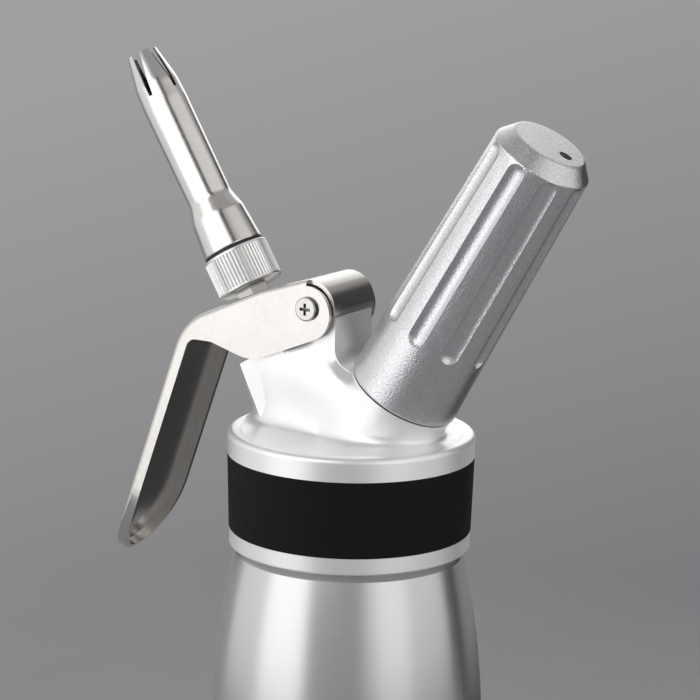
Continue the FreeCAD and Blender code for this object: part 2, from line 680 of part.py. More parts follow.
def make_head_gasket():
    return ring("head_gasket", s.gasket_rad, s.neck_rad - s.seat_gap, s.gasket_z, s.seat_z)


def make_piston():
    body = turned("piston", [
        (s.stem_bore, -s.seat_depth),
        (s.stem_bore, s.stem_top),
        (s.stem_neck, s.stem_top),
        (s.stem_neck, s.cap_low),
        (s.stem_rad, s.cap_low),
        (s.stem_rad, -s.poppet_face),
        (s.poppet_rad, -s.poppet_face),
        (s.poppet_rad - s.poppet_bevel, -s.poppet_face - s.poppet_depth),
        (0, -s.poppet_face - s.poppet_depth),
        (0, -s.seat_depth),
    ])
    for name, angle in (("port_across", 0), ("port_along", QUARTER)):
        port = body.newObject("PartDesign::SubtractiveCylinder", name)
        bind(port, Radius=s.stem_bore - s.port_inset, Height=2 * s.valve_bore)
        turn = FreeCAD.Rotation(UPRIGHT, angle) * FreeCAD.Rotation(LEAN_SIDE, QUARTER)
        reach = turn.multVec(vector(0, 0, s.valve_bore))
        port_start = vector(-reach.x, -reach.y, s.stem_rad.value - s.seat_depth.value)
        port.Placement = FreeCAD.Placement(port_start, turn)
        port.setExpression("Placement.Base.z", (s.stem_rad - s.seat_depth).text)
    return on_valve_line(body)


def make_valve_seal():
    inner = s.stem_rad + s.running
    return on_valve_line(ring("valve_seal", inner, s.ring_bore, -s.poppet_face, -s.seat_depth - s.seat_gap))


def make_stem_ring():
    body = new_body("stem_o_ring")
    torus = body.newObject("PartDesign::AdditiveTorus", "stem_o_ring_torus")
    middle = (s.stem_rad + s.ring_bore) / 2
    bind(torus, Radius1=middle, Radius2=(s.ring_bore - s.stem_rad) / 2 - s.seat_gap)
    put(torus, z=-s.gland_depth - s.ring_room / 2)
    return on_valve_line(body)


def make_gland_nut():
    inner = s.stem_rad + s.running
    return on_valve_line(turned("gland_nut", [
        (inner, -s.gland_depth),
        (s.gland_rad, -s.gland_depth),
        (s.gland_rad, 0),
        (s.gland_flange, 0),
        (s.gland_flange, s.flange_depth),
        (inner, s.flange_depth),
    ]))


def make_spring():
    body = new_body("return_spring")
    low = s.flange_depth + s.wire_rad + s.running
    high = s.cap_low - s.wire_rad - s.running
    wire = body.newObject("Sketcher::SketchObject", "spring_wire")
    wire.AttachmentSupport = (base_plane(body, "XZ_Plane"), [""])
    wire.MapMode = "FlatFace"
    wire.addGeometry([Part.Circle(vector(s.coil_rad, low), vector(0, 0, 1), s.wire_rad.value)], False)
    rules = [
        Sketcher.Constraint("Radius", 0, s.wire_rad.value),
        Sketcher.Constraint("DistanceX", -1, 1, 0, 3, s.coil_rad.value),
        Sketcher.Constraint("DistanceY", -1, 1, 0, 3, low.value),
    ]
    wire.addConstraint(rules)
    for number, size in enumerate((s.wire_rad, s.coil_rad, low)):
        wire.setExpression(f"Constraints[{number}]", size.text)
    coil = body.newObject("PartDesign::AdditiveHelix", "spring_coil")
    coil.Profile = wire
    coil.ReferenceAxis = (wire, ["V_Axis"])
    coil.Mode = "height-turns-angle"
    bind(coil, Height=high - low, Turns=s.coil_turns)
    return on_valve_line(body)


def make_spring_cap():
    inner = s.stem_neck + s.running
    return on_valve_line(turned("spring_cap", [
        (inner, s.cap_low),
        (s.cap_rad, s.cap_low),
        (s.cap_rad, s.cap_gap, s.edge_round),
        (inner, s.cap_gap),
    ]))


def raised(sketch, height):
    """Lifts a level sketch to a height."""
    sketch.AttachmentOffset = FreeCAD.Placement(vector(0, 0, height), FreeCAD.Rotation())
    sketch.setExpression("AttachmentOffset.Base.z", as_size(height).text)


def swung(sketch, angle):
    """Turns an upright sketch about the body's Z axis, by an angle in degrees."""
    sketch.AttachmentOffset = FreeCAD.Placement(vector(0, 0), FreeCAD.Rotation(vector(0, 1), float(angle)))
    sketch.setExpression("AttachmentOffset.Rotation.Angle", angle.text)


def prism(name, corners, low, high):
    """A straight bar along a body's Z axis, between two heights."""
    body = new_body(name)
    section = outline(body, name + "_section", "XY_Plane", corners)
    raised(section, low)
    bar = body.newObject("PartDesign::Pad", name + "_bar")
    bar.Profile = section
    bind(bar, Length=high - low)
    return body


def make_hex_neck():
    turn = 2 * math.pi / HEX_SIDES
    corner = s.nut_flat / math.cos(turn / 2)
    spots = [(corner * math.cos(turn * side), corner * math.sin(turn * side)) for side in range(HEX_SIDES)]
    body = prism("hex_neck", spots, s.cap_gap, s.collar_gap - s.seat_gap)
    round_block(body, "Subtractive", "hex_neck_bore", s.stem_neck + s.running, s.collar_gap,
                z=s.cap_gap - s.overshoot)
    return on_valve_line(body)


def make_collar():
    high = s.collar_gap + s.collar_length
    body = turned("adapter_collar", [
        (s.stem_neck + s.running, s.collar_gap),
        (s.collar_rad, s.collar_gap, s.edge_round),
        (s.collar_rad, high, s.edge_round),
        (s.collar_socket, high),
        (s.collar_socket, high - s.socket_depth),
        (s.stem_neck + s.running, high - s.socket_depth),
    ])
    spread = 2 * s.knurl_depth * s.knurl_spread
    groove_section = outline(body, "knurl_section", "XY_Plane", [
        (s.collar_rad - s.knurl_depth, 0),
        (s.collar_rad + s.knurl_depth, spread),
        (s.collar_rad + s.knurl_depth, -spread),
    ])
    raised(groove_section, s.collar_gap + s.knurl_inset)
    doc.recompute()
    groove = body.newObject("PartDesign::Pocket", "knurl_groove")
    groove.Profile = groove_section
    groove.Reversed = True
    bind(groove, Length=s.collar_length - 2 * s.knurl_inset)
    repeated(body, groove, "knurl", s.knurl_count)
    return on_valve_line(body)


def make_nozzle_seal():
    low = s.collar_gap + s.collar_length
    inner = s.collar_socket + s.seat_gap
    outer = s.nozzle_base - s.seat_gap
    return on_valve_line(ring("nozzle_seal", inner, outer, low + s.running, low + s.nozzle_seal - s.running))


def make_nozzle():
    low = s.collar_gap + s.collar_length + s.nozzle_seal
    spigot = s.collar_socket - s.running
    wall = s.nozzle_wall
    body = turned("decorator_nozzle", [
        (s.nozzle_base, low, s.edge_round),
        (s.nozzle_shoulder, low + s.shoulder_up, s.shoulder_round),
        (s.nozzle_waist, low + s.waist_up, s.shoulder_round),
        (s.barrel_rad, low + s.barrel_up, s.barrel_round),
        (s.lip_rad, low + s.lip_up, s.lip_round),
        (s.mouth_rad, low + s.nozzle_length),
        (s.mouth_rad - wall, low + s.nozzle_length),
        (s.lip_rad - wall, low + s.lip_up),
        (s.barrel_rad - wall, low + s.barrel_up),
        (s.nozzle_waist - wall, low + s.waist_up),
        (s.nozzle_shoulder - 2 * wall, low + s.shoulder_up),
        (s.nozzle_shoulder - 2 * wall, low - s.nozzle_spigot),
        (spigot, low - s.nozzle_spigot),
        (spigot, low),
    ])
    slot_plan = outline(body, "slot_side", "XZ_Plane", [
        (-s.slot_root / 2, low + s.nozzle_length - s.slot_length),
        (s.slot_root / 2, low + s.nozzle_length - s.slot_length),
        (s.slot_mouth / 2, low + s.nozzle_length + s.overshoot),
        (-s.slot_mouth / 2, low + s.nozzle_length + s.overshoot),
    ])
    swung(slot_plan, s.slot_turn)
    doc.recompute()
    slot = body.newObject("PartDesign::Pocket", "slot")
    slot.Profile = slot_plan
    bind(slot, Length=s.nozzle_base)
    repeated(body, slot, "slots", s.slot_count)
    return on_valve_line(body)


def make_holder_seal():
    inner = s.spigot_rad + s.running
    outer = s.boss_rad - s.edge_round
    return on_charger_line(ring("holder_seal", inner, outer, -s.holder_seal, 0))


def make_pin_plug():
    body = turned("pin_holder", [
        (s.pin_rad + s.running, s.plug_low),
        (s.plug_rad, s.plug_low),
        (s.plug_rad, s.plug_high),
        (s.pin_rad + s.running, s.plug_high),
    ])
    return on_charger_line(body)


def make_piercing_pin():
    return on_charger_line(turned("piercing_pin", [
        (0, s.plug_low + s.seat_gap),
        (s.pin_rad, s.plug_low + s.seat_gap),
        (s.pin_rad, s.charger_low),
        (0, s.charger_low + 2 * s.pin_rad),
    ]))


def make_charger_gasket():
    inner = 2 * s.pin_rad
    return on_charger_line(ring("charger_gasket", inner, s.plug_rad, s.plug_high, s.charger_low - s.seat_gap))


def make_charger():
    wall = s.charger_wall
    high = s.charger_low + s.charger_length
    shoulder = s.charger_low + s.neck_length
    slope = s.charger_rad - s.charger_neck
    pierced = s.charger_mouth
    return on_charger_line(turned("gas_charger", [
        (pierced, s.charger_low),
        (s.charger_neck, s.charger_low),
        (s.charger_neck, shoulder, s.charger_round),
        (s.charger_rad, shoulder + slope, s.charger_neck / 2),
        (s.charger_rad, high - s.charger_rad, s.charger_neck),
        (s.charger_rad / 2, high),
        (0, high),
        (0, high - wall),
        (s.charger_rad / 2 - wall / 2, high - wall),
        (s.charger_rad - wall, high - s.charger_rad),
        (s.charger_rad - wall, shoulder + slope),
        (s.charger_neck - wall, shoulder),
        (s.charger_neck - wall, s.charger_low + 2 * wall),
        (pierced, s.charger_low + 2 * wall),
    ]))


def make_holder():
    room = s.charger_rad + s.charger_play
    socket = s.spigot_rad + s.running
    pocket_top = s.charger_low + s.charger_length + s.charger_play
    bevel = s.holder_length - s.bevel_height
    body = turned("charger_holder", [
        (socket, 0),
        (s.holder_base, 0, s.edge_round),
        (s.holder_top, bevel, s.bevel_round),
        (s.holder_flat, s.holder_length, s.bevel_round),
        (0, s.holder_length),
        (0, pocket_top),
        (room, pocket_top),
        (room, s.spigot_length + s.holder_seal),
        (socket, s.spigot_length + s.holder_seal),
    ])
    narrowing = (s.holder_base - s.holder_top) / bevel
    stand_off = s.flute_rad - s.flute_depth

    def cutter_way(height):
        """Distance of the flute cutter's axis from the holder's axis."""
        return s.holder_base - narrowing * height + stand_off

    ball_low = s.flute_start + s.flute_rad
    ball_high = s.flute_end - s.flute_rad
    cutter = body.newObject("Sketcher::SketchObject", "flute_plan")
    cutter.AttachmentSupport = (base_plane(body, "XZ_Plane"), [""])
    cutter.MapMode = "FlatFace"
    ends = [vector(cutter_way(ball_low), ball_low), vector(cutter_way(ball_high), ball_high)]
    along = (ends[1] - ends[0]).normalize()
    inward = vector(-along.y, along.x)
    radius = s.flute_rad.value
    tips = [ends[0] - along * radius, ends[1] + along * radius]
    sides = [end + inward * radius for end in ends]
    lean = math.atan2(along.y, along.x)
    turns = [math.pi / 2 * quarter for quarter in range(3)]
    cutter.addGeometry([
        Part.LineSegment(tips[0], tips[1]),
        Part.LineSegment(sides[0], sides[1]),
        Part.ArcOfCircle(Part.Circle(ends[0], vector(0, 0, 1), radius), lean + turns[1], lean + turns[2]),
        Part.ArcOfCircle(Part.Circle(ends[1], vector(0, 0, 1), radius), lean + turns[0], lean + turns[1]),
    ], False)
    cutter.addGeometry([Part.LineSegment(ends[0], ends[1])], True)
    cutter.addConstraint([
        Sketcher.Constraint("Coincident", 0, 1, 2, 2),
        Sketcher.Constraint("Tangent", 1, 1, 2, 1),
        Sketcher.Constraint("Coincident", 0, 2, 3, 1),
        Sketcher.Constraint("Tangent", 1, 2, 3, 2),
        Sketcher.Constraint("PointOnObject", 2, 3, 0),
        Sketcher.Constraint("PointOnObject", 3, 3, 0),
        Sketcher.Constraint("Equal", 2, 3),
        Sketcher.Constraint("Coincident", 4, 1, 2, 3),
        Sketcher.Constraint("Coincident", 4, 2, 3, 3),
        Sketcher.Constraint("Radius", 2, radius),
        Sketcher.Constraint("DistanceX", -1, 1, 2, 3, ends[0].x),
        Sketcher.Constraint("DistanceY", -1, 1, 2, 3, ends[0].y),
        Sketcher.Constraint("DistanceX", -1, 1, 3, 3, ends[1].x),
        Sketcher.Constraint("DistanceY", -1, 1, 3, 3, ends[1].y),
    ])
    bound = (s.flute_rad, cutter_way(ball_low), ball_low, cutter_way(ball_high), ball_high)
    first_bound = cutter.ConstraintCount - len(bound)
    for number, size in enumerate(bound, start=first_bound):
        cutter.setExpression(f"Constraints[{number}]", size.text)
    swung(cutter, s.flute_turn)
    doc.recompute()
    flute = body.newObject("PartDesign::Groove", "flute")
    flute.Profile = cutter
    flute.ReferenceAxis = (cutter, ["Axis0"])
    flute.Angle = 360
    repeated(body, flute, "flutes", s.flute_count)
    vent_depth = s.holder_length - pocket_top
    round_block(body, "Subtractive", "vent", s.vent_rad, vent_depth + 2 * s.overshoot, x=s.vent_offset,
                z=pocket_top - s.overshoot)
    return on_charger_line(body)


def make_check_flap():
    low = s.ceiling_z + s.check_depth - s.flap_depth - s.seat_gap
    body = new_body("check_valve_flap")
    round_block(body, "Additive", "flap_disc", s.check_rad - s.flap_room, s.flap_depth, x=s.check_x, z=low)
    return body


def make_check_nut():
    body = new_body("check_valve_nut")
    high = s.check_depth - s.flap_depth - 2 * s.seat_gap
    round_block(body, "Additive", "nut_plug", s.check_rad, high + s.check_lip, x=s.check_x,
                z=s.ceiling_z - s.check_lip)
    round_block(body, "Additive", "nut_flange", s.check_rad + s.check_lip, s.check_lip - s.seat_gap,
                x=s.check_x, z=s.ceiling_z - s.check_lip)
    round_block(body, "Subtractive", "nut_hole", s.gas_rad, s.check_depth + 2 * s.check_lip, x=s.check_x,
                z=s.ceiling_z - 2 * s.check_lip)
    return body


def across(item):
    """Places a turned piece along Y, its own +Z pointing to +Y, at the lever's pivot."""
    return put(item, x=s.pivot_x, z=s.pivot_z, angle=QUARTER, axis=LEAN_SIDE)


def make_pivot_bush():
    bush = ring("pivot_bush", s.pin_shank + s.running, s.bush_rad, -s.post_half, s.post_half)
    return across(bush)


def make_pivot_pin():
    head_low = s.lever_half + s.seat_gap
    shank_end = s.seat_gap - s.lever_half
    hollow = s.pin_shank * s.thread_share
    return across(turned("pivot_pin", [
        (hollow + s.running, shank_end),
        (s.pin_shank, shank_end),
        (s.pin_shank, head_low),
        (s.pin_head, head_low),
        (s.pin_head, head_low + s.head_depth, s.edge_round),
        (0, head_low + s.head_depth),
        (0, 0),
        (hollow + s.running, 0),
    ]))


def make_pivot_screw():
    head_low = -s.lever_half - s.seat_gap
    head_top = head_low - s.head_depth
    body = turned("pivot_screw", [
        (0, head_top),
        (s.pin_head, head_top, s.edge_round),
        (s.pin_head, head_low),
        (s.pin_shank * s.thread_share, head_low),
        (s.pin_shank * s.thread_share, -s.screw_gap),
        (0, -s.screw_gap),
    ])
    arms = (("cross_one", s.pin_head, s.cross_width), ("cross_two", s.cross_width, s.pin_head))
    for name, wide, deep in arms:
        slot = body.newObject("PartDesign::SubtractiveBox", name)
        bind(slot, Length=wide, Width=deep, Height=s.head_depth)
        put(slot, x=-wide / 2, y=-deep / 2, z=head_top + s.cross_depth - s.head_depth)
    return across(body)


def make_washer(name, low, high):
    return across(ring(name, s.pin_shank + s.running, s.washer_rad, low, high))


def make_washers():
    outer_face = s.lever_half - s.sheet - s.seat_gap
    inner_face = s.post_half + s.running
    near = make_washer("washer_near", -outer_face, -inner_face)
    far = make_washer("washer_far", inner_face, outer_face)
    return [near, far]


def heading(slope):
    """Unit vector in the XZ plane that runs towards -X and falls by a slope in degrees."""
    turn = math.radians(slope)
    return vector(-math.cos(turn), 0, -math.sin(turn))


def crossing(first, along, second, across_way):
    """Where two lines in the XZ plane meet, each given by a point and a direction."""
    gap = second - first
    share = (gap.x * across_way.z - gap.z * across_way.x) / (along.x * across_way.z - along.z * across_way.x)
    return first + along * share


def rounded_corner(before, corner, after, radius):
    """The arc that rounds a corner, as three points: start, middle and end."""
    to_before = (before - corner).normalize()
    to_after = (after - corner).normalize()
    half = to_before.getAngle(to_after) / 2
    setback = radius / math.tan(half)
    centre_way = (to_before + to_after).normalize()
    centre = corner + centre_way * (radius / math.sin(half))
    return corner + to_before * setback, centre - centre_way * radius, corner + to_after * setback


def arc_points(centre, radius, first, last):
    """Start, middle and end of an arc about a centre in the XZ plane, between two angles in degrees."""
    places = []
    for angle in (first, (first + last) / 2, last):
        turn = math.radians(angle)
        places.append(centre + vector(radius * math.cos(turn), 0, radius * math.sin(turn)))
    return places


class Trace:
    """A path in the XZ plane that is drawn edge by edge."""

    def __init__(self, start):
        self.here = start
        self.edges = []

    def line(self, end):
        if self.here.distanceToPoint(end) > SAME_PLACE:
            self.edges.append(Part.makeLine(self.here, end))
        self.here = end

    def arc(self, points):
        self.line(points[0])
        self.edges.append(Part.Arc(*points).toShape())
        self.here = points[2]

    def slab(self, half):
        """The closed path as a slab between y = -half and y = half."""
        face = Part.Face(Part.Wire(self.edges))
        face.translate(vector(0, -half, 0))
        return face.extrude(vector(0, 2 * half, 0))


def lever_lines(inset):
    """Points of the lever's outer side, moved inward by an inset."""
    pivot = vector(s.pivot_x, 0, s.pivot_z)
    hood = s.hood_rad.value - inset
    first_way = heading(s.web_slope.value)
    first_normal = vector(first_way.z, 0, -first_way.x)
    tangent = pivot + first_normal * hood
    second_way = heading(s.web_fall.value)
    second_normal = vector(second_way.z, 0, -second_way.x)
    web_mark = pivot + vector(-s.web_mark_out.value, 0, s.web_mark_up.value) - second_normal * inset
    handle_way = heading(90 - s.handle_lean.value)
    handle_normal = vector(handle_way.z, 0, -handle_way.x)
    handle_mark = pivot - vector(s.handle_out.value, 0, s.handle_down.value) - handle_normal * inset
    bend = crossing(tangent, first_way, web_mark, second_way)
    elbow = crossing(web_mark, second_way, handle_mark, handle_way)
    flare = handle_mark + handle_way * s.flare_start.value
    return pivot, tangent, bend, elbow, flare, handle_way, handle_normal


def flare_arc(flare, handle_way, handle_normal, depth, reach):
    """The outward curve of the handle's end, a depth inside its outer face, as three points."""
    radius = s.flare_rad.value + depth
    centre = flare + handle_normal * s.flare_rad.value
    turn = reach / s.flare_rad.value
    places = []
    for share in (0, 0.5, 1):
        angle = turn * share
        out = handle_normal * (radius * math.cos(angle))
        places.append(centre - out + handle_way * (radius * math.sin(angle)))
    return places


def lever_plan(inset, handle_way, handle_normal, flare):
    """The lever's plan seen along the handle's normal: straight sides and a half-ellipse end."""
    half = s.lever_half.value - inset
    length = s.scoop_length.value - inset
    far = FAR_TIMES * (s.hood_rad.value + s.handle_out.value)
    centre = flare + handle_way * s.scoop_start.value
    ellipse = Part.Ellipse(centre + handle_way * length, centre + vector(0, half, 0), centre)
    end = Part.ArcOfEllipse(ellipse, -math.pi / 2, math.pi / 2).toShape()
    near_point, far_point = end.Vertexes[0].Point, end.Vertexes[1].Point
    back = [point - handle_way * far for point in (near_point, far_point)]
    sides = [Part.makeLine(far_point, back[1]), Part.makeLine(back[1], back[0])]
    edges = [end, *sides, Part.makeLine(back[0], near_point)]
    face = Part.Face(Part.Wire(edges))
    face.translate(handle_normal * -far)
    return face.extrude(handle_normal * (2 * far))


def bend_edges(solid, side):
    """Edges where the outer side of the sheet meets the cheeks and the wall of the scoop."""
    chosen = []
    for edge in solid.Edges:
        span = edge.LastParameter - edge.FirstParameter
        marks = [edge.valueAt(edge.FirstParameter + span * share) for share in EDGE_MARKS]
        flat = [vector(mark.x, 0, mark.z) for mark in marks]
        runs = flat[0].distanceToPoint(flat[1]) > SAME_PLACE
        if runs and max(Part.Vertex(mark).distToShape(side)[0] for mark in flat) < SAME_PLACE:
            chosen.append(edge)
    return chosen


def make_lever():
    pivot, tangent, bend, elbow, flare, handle_way, handle_normal = lever_lines(0)
    cheek = pivot - vector(s.cheek_back.value, 0, s.cheek_down.value)
    cheek_rad = s.cheek_rad.value
    start_x = cheek.x
    hood_angle = math.degrees(math.acos((start_x - pivot.x) / s.hood_rad.value))
    tangent_angle = 90 + s.web_slope.value
    reach = s.scoop_start.value + s.scoop_length.value + s.sheet.value
    outer_end = flare_arc(flare, handle_way, handle_normal, 0, reach)
    rim_end = flare_arc(flare, handle_way, handle_normal, s.wall_depth.value, reach)
    hood_top = arc_points(pivot, s.hood_rad.value, hood_angle, tangent_angle)
    outside = Trace(hood_top[0])
    outside.arc(hood_top)
    outside.arc(rounded_corner(tangent, bend, elbow, s.web_round.value))
    outside.arc(rounded_corner(bend, elbow, flare, s.elbow_round.value))
    outside.arc(outer_end)
    outer_side = Part.Wire(list(outside.edges))
    rim_start = rim_end[0]
    low = cheek + vector(cheek_rad * math.sin(math.radians(s.cheek_slope.value)), 0,
                         -cheek_rad * math.cos(math.radians(s.cheek_slope.value)))
    belly = low + heading(s.cheek_slope.value) * s.belly_run.value
    root_way = heading(-s.root_slope.value)
    rise = belly + root_way * s.root_run.value
    root_corner = crossing(rise, vector(-1, 0, 0), rim_start, handle_way)
    outside.arc(rim_end[::-1])
    outside.arc(rounded_corner(rim_start, root_corner, rise, s.root_round.value))
    outside.arc(rounded_corner(root_corner, rise, belly, 2 * s.root_round.value))
    outside.arc(rounded_corner(rise, belly, low, s.belly_round.value))
    outside.arc(arc_points(cheek, cheek_rad, s.cheek_slope.value - 90, 90))
    outside.line(hood_top[0])
    plan = lever_plan(0, handle_way, handle_normal, flare)
    shell = outside.slab(s.lever_half.value).common(plan).removeSplitter()
    step = hood_top[0].z - cheek.z - cheek_rad
    bend_round = min(s.bend_round.value, s.bend_share.value * step)
    shell = shell.makeFillet(bend_round, bend_edges(shell, outer_side))
    hood_last = hood_angle + s.web_slope.value
    hood_inside = s.hood_rad.value - s.sheet.value
    hood_spots = arc_points(pivot, s.hood_rad.value, -s.hood_turn.value, hood_last)
    inner_spots = arc_points(pivot, hood_inside, -s.hood_turn.value, hood_last)
    hood = Trace(hood_spots[0])
    hood.arc(hood_spots)
    hood.arc(inner_spots[::-1])
    hood.line(hood_spots[0])
    lever = shell.cut(lever_core()).fuse(hood.slab(s.hood_half.value))
    valve_way = vector(-s.valve_sin.value, 0, s.valve_cos.value)
    down_web = vector(-s.valve_cos.value, 0, -s.valve_sin.value)
    top = vector(s.tower_x, 0, s.tower_z)
    middle = top + valve_way * s.cap_gap.value - down_web * s.slot_shift.value
    half_run = down_web * s.web_slot_run.value
    half_width = vector(0, s.web_slot_half.value)
    round_end = down_web * s.web_slot_half.value
    sides = [(middle - half_run - half_width, middle + half_run - half_width),
             (middle + half_run + half_width, middle - half_run + half_width)]
    slot_wire = Part.Wire([
        Part.makeLine(*sides[0]),
        Part.Arc(sides[0][1], middle + half_run + round_end, sides[1][0]).toShape(),
        Part.makeLine(*sides[1]),
        Part.Arc(sides[1][1], middle - half_run - round_end, sides[0][0]).toShape(),
    ])
    through = s.collar_gap.value - s.cap_gap.value + s.sheet.value
    slot = Part.Face(slot_wire).extrude(valve_way * through)
    hole_half = s.lever_half.value + s.overshoot.value
    hole = Part.makeCylinder(s.pin_shank.value + s.running.value, 2 * hole_half,
                             pivot - vector(0, hole_half), vector(0, 1))
    lever = lever.cut(slot).cut(hole)
    item = doc.addObject("Part::Feature", "lever")
    item.Shape = lever.removeSplitter()
    item.Label = "lever"
    return item


def lever_core():
    """The room inside the lever's sheet, open towards the bottle and behind the pivot."""
    sheet_depth = s.sheet.value
    pivot, tangent, bend, elbow, flare, handle_way, handle_normal = lever_lines(sheet_depth)
    start_x = (s.pivot_x - s.cheek_back).value
    hood = s.hood_rad.value - sheet_depth
    hood_angle = math.degrees(math.acos((start_x - pivot.x) / hood))
    reach = s.scoop_start.value + s.scoop_length.value + sheet_depth
    far = FAR_TIMES * s.wall_depth.value + s.post_half.value
    end = flare_arc(flare + handle_normal * sheet_depth, handle_way, handle_normal, sheet_depth, reach)
    hood_top = arc_points(pivot, hood, hood_angle, 90 + s.web_slope.value)
    right = pivot.x + 2 * s.hood_rad.value
    high = pivot.z + 2 * s.hood_rad.value
    inside = Trace(hood_top[0])
    inside.arc(hood_top)
    inside.arc(rounded_corner(tangent, bend, elbow, s.web_round.value - sheet_depth))
    inside.arc(rounded_corner(bend, elbow, flare, s.elbow_round.value - sheet_depth))
    inside.arc(end)
    inside.line(end[2] - handle_normal * far)
    inside.line(vector(right, 0, (end[0] - handle_normal * far).z))
    inside.line(vector(right, 0, high))
    inside.line(vector(start_x, 0, high))
    inside.line(hood_top[0])
    half = s.lever_half.value - sheet_depth
    return inside.slab(half).common(lever_plan(sheet_depth, handle_way, handle_normal, flare))


BUILDERS = [
    make_bottle, make_head, make_band, make_head_gasket, make_piston, make_valve_seal, make_stem_ring,
    make_gland_nut, make_spring, make_spring_cap, make_hex_neck, make_collar, make_nozzle_seal, make_nozzle,
    make_holder_seal, make_pin_plug, make_piercing_pin, make_charger_gasket, make_charger, make_holder,
    make_check_flap, make_check_nut, make_pivot_bush, make_pivot_pin, make_pivot_screw, make_washers,
    make_lever,
]
pieces = []
for build in BUILDERS:
    made = build()
    pieces += made if isinstance(made, list) else [made]
doc.recompute()
failed = [item.Name for item in doc.Objects if "Invalid" in item.State or "Error" in item.State]
failed += [piece.Label for piece in pieces if piece.Shape.isNull() or not piece.Shape.isValid()]
if failed:
    raise RuntimeError("pieces that did not build: " + ", ".join(failed))
os.makedirs("parts", exist_ok=True)
for piece in pieces:
    piece.Shape.exportStep(f"parts/{piece.Label}.step")
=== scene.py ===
"""Whipped cream dispenser: its finishes, the soft coves of its head, its return spring and its stage."""
import math

import bmesh
import bpy
from bpy.props import FloatProperty, FloatVectorProperty, PointerProperty
from mathutils import Matrix, Vector
from mathutils.bvhtree import BVHTree


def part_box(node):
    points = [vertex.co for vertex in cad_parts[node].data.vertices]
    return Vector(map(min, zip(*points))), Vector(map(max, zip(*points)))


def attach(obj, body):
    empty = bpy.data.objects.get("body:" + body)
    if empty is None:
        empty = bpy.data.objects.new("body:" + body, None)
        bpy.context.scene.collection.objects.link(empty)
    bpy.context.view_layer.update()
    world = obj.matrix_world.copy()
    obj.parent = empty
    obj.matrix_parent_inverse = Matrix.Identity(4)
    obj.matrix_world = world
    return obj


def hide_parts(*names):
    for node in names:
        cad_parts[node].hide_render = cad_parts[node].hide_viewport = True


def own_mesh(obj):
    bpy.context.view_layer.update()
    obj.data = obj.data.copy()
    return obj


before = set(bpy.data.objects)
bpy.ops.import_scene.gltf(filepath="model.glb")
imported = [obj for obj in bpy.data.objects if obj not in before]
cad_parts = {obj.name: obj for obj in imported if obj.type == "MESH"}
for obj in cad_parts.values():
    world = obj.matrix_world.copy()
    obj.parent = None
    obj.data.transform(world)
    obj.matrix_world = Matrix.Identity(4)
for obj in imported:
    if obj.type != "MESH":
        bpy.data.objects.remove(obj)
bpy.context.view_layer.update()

bl_info = {
    "name": "Whipped cream dispenser",
    "version": (1, 0, 0),
    "blender": (4, 5, 0),
    "location": "3D View > Sidebar > Dispenser",
    "description": "Finishes a whipped cream dispenser around its fixed frame and sets it on a plain stage",
    "category": "Object",
}

MM = 0.001

# Points closer together than this are one point.
WELD = 0.001 * MM

# The leaning lines of the valve and the charger, each through a point, turned about the y axis.
VALVE_POINT = Vector((-25.7, 0, 204.2)) * MM
VALVE_TURN = math.radians(-31.5)
CHARGER_POINT = Vector((17.7, 0, 196.9)) * MM
CHARGER_TURN = math.radians(30.7)

# Sections of the fill that carries the side walls up to the lever: x, half widths and heights of its
# shoulder and of its top, and the half width of its foot. It ends at a gap under the charger holder.
FILL_FOOT = 183.0 * MM
FILL_GAP = 2.5 * MM
FILL = (
    (-25.0, 11.2, 199.8, 10.3, 202.5, 11.2),
    (-19.0, 11.6, 201.3, 10.1, 206.0, 11.6),
    (-15.0, 12.2, 201.3, 10.3, 207.6, 12.2),
    (-8.0, 13.4, 200.9, 10.3, 207.6, 13.2),
    (-1.0, 14.5, 200.6, 10.1, 206.0, 14.3),
    (6.0, 15.5, 199.9, 12.0, 202.0, 15.3),
    (14.0, 16.6, 198.9, 14.5, 200.0, 16.4),
)

# The flare at the tower's foot: heights, and how far it stands out there from the half widths of the tower
# along x. Across, it stands out by a share of that.
FLARE = ((181.4, 6.2), (183.0, 4.4), (185.5, 2.6), (189.0, 1.1), (192.0, 0.2), (194.0, -0.6))
FLARE_HALVES = (16.1, 11.5)
FLARE_SIDE = 0.3

# The nozzle's outer radius at heights over the tower's top, and the largest height and radius of the curve
# that holds it.
NOZZLE_OUTLINE = (
    (26.0, 9.35), (32.6, 9.35), (43.9, 8.4), (49.2, 6.85), (81.6, 7.0), (88.1, 6.7), (98.2, 4.75),
)
CURVE_HEIGHT = 100.0
CURVE_RADIUS = 10.0

# The coves are smoothed in rounds, each for the points that are further than this from what stays sharp.
SMOOTHING = ((0.2 * MM, 60), (1.2 * MM, 80), (2.5 * MM, 160))

# The room of a point that isn't smoothed, and the strip of such points that is kept round the smoothed ones.
NO_ROOM = -1.0
STRIP = 0.3 * MM

# A cove with fewer faces than this is a speck.
SPECK = 400

# Noise seldom leaves this range, so patterns are spread over it.
NOISE_LOW = 0.3
NOISE_HIGH = 0.7

# The number of sides of what is round, and the crease that stays sharp on the spring.
FLARE_SIDES = 64
FLOOR_SIDES = 96
CREASE = math.radians(40)

# The floor lies this far under the foot, so that the two don't share a plane.
FLOOR_DROP = 0.02 * MM

# The background is darkest where the line of sight points lower than the first of these and lightest where it
# points higher than the second. Both are sines, like the distance to each side over which it leans.
DARK_UNDER = -0.337
LIGHT_OVER = -0.06916
LEAN_REACH = 0.15

# The camera's sensor is this wide, in millimetres.
SENSOR = 36


# ---------------------------------------------------------------- sizes and colours


def colour_property(name, description, value):
    return FloatVectorProperty(
        name=name, description=description, subtype="COLOR", size=3, min=0, max=1, default=value
    )


def length_property(name, description, value):
    return FloatProperty(
        name=name, description=description, subtype="DISTANCE", unit="LENGTH", min=0, default=value
    )


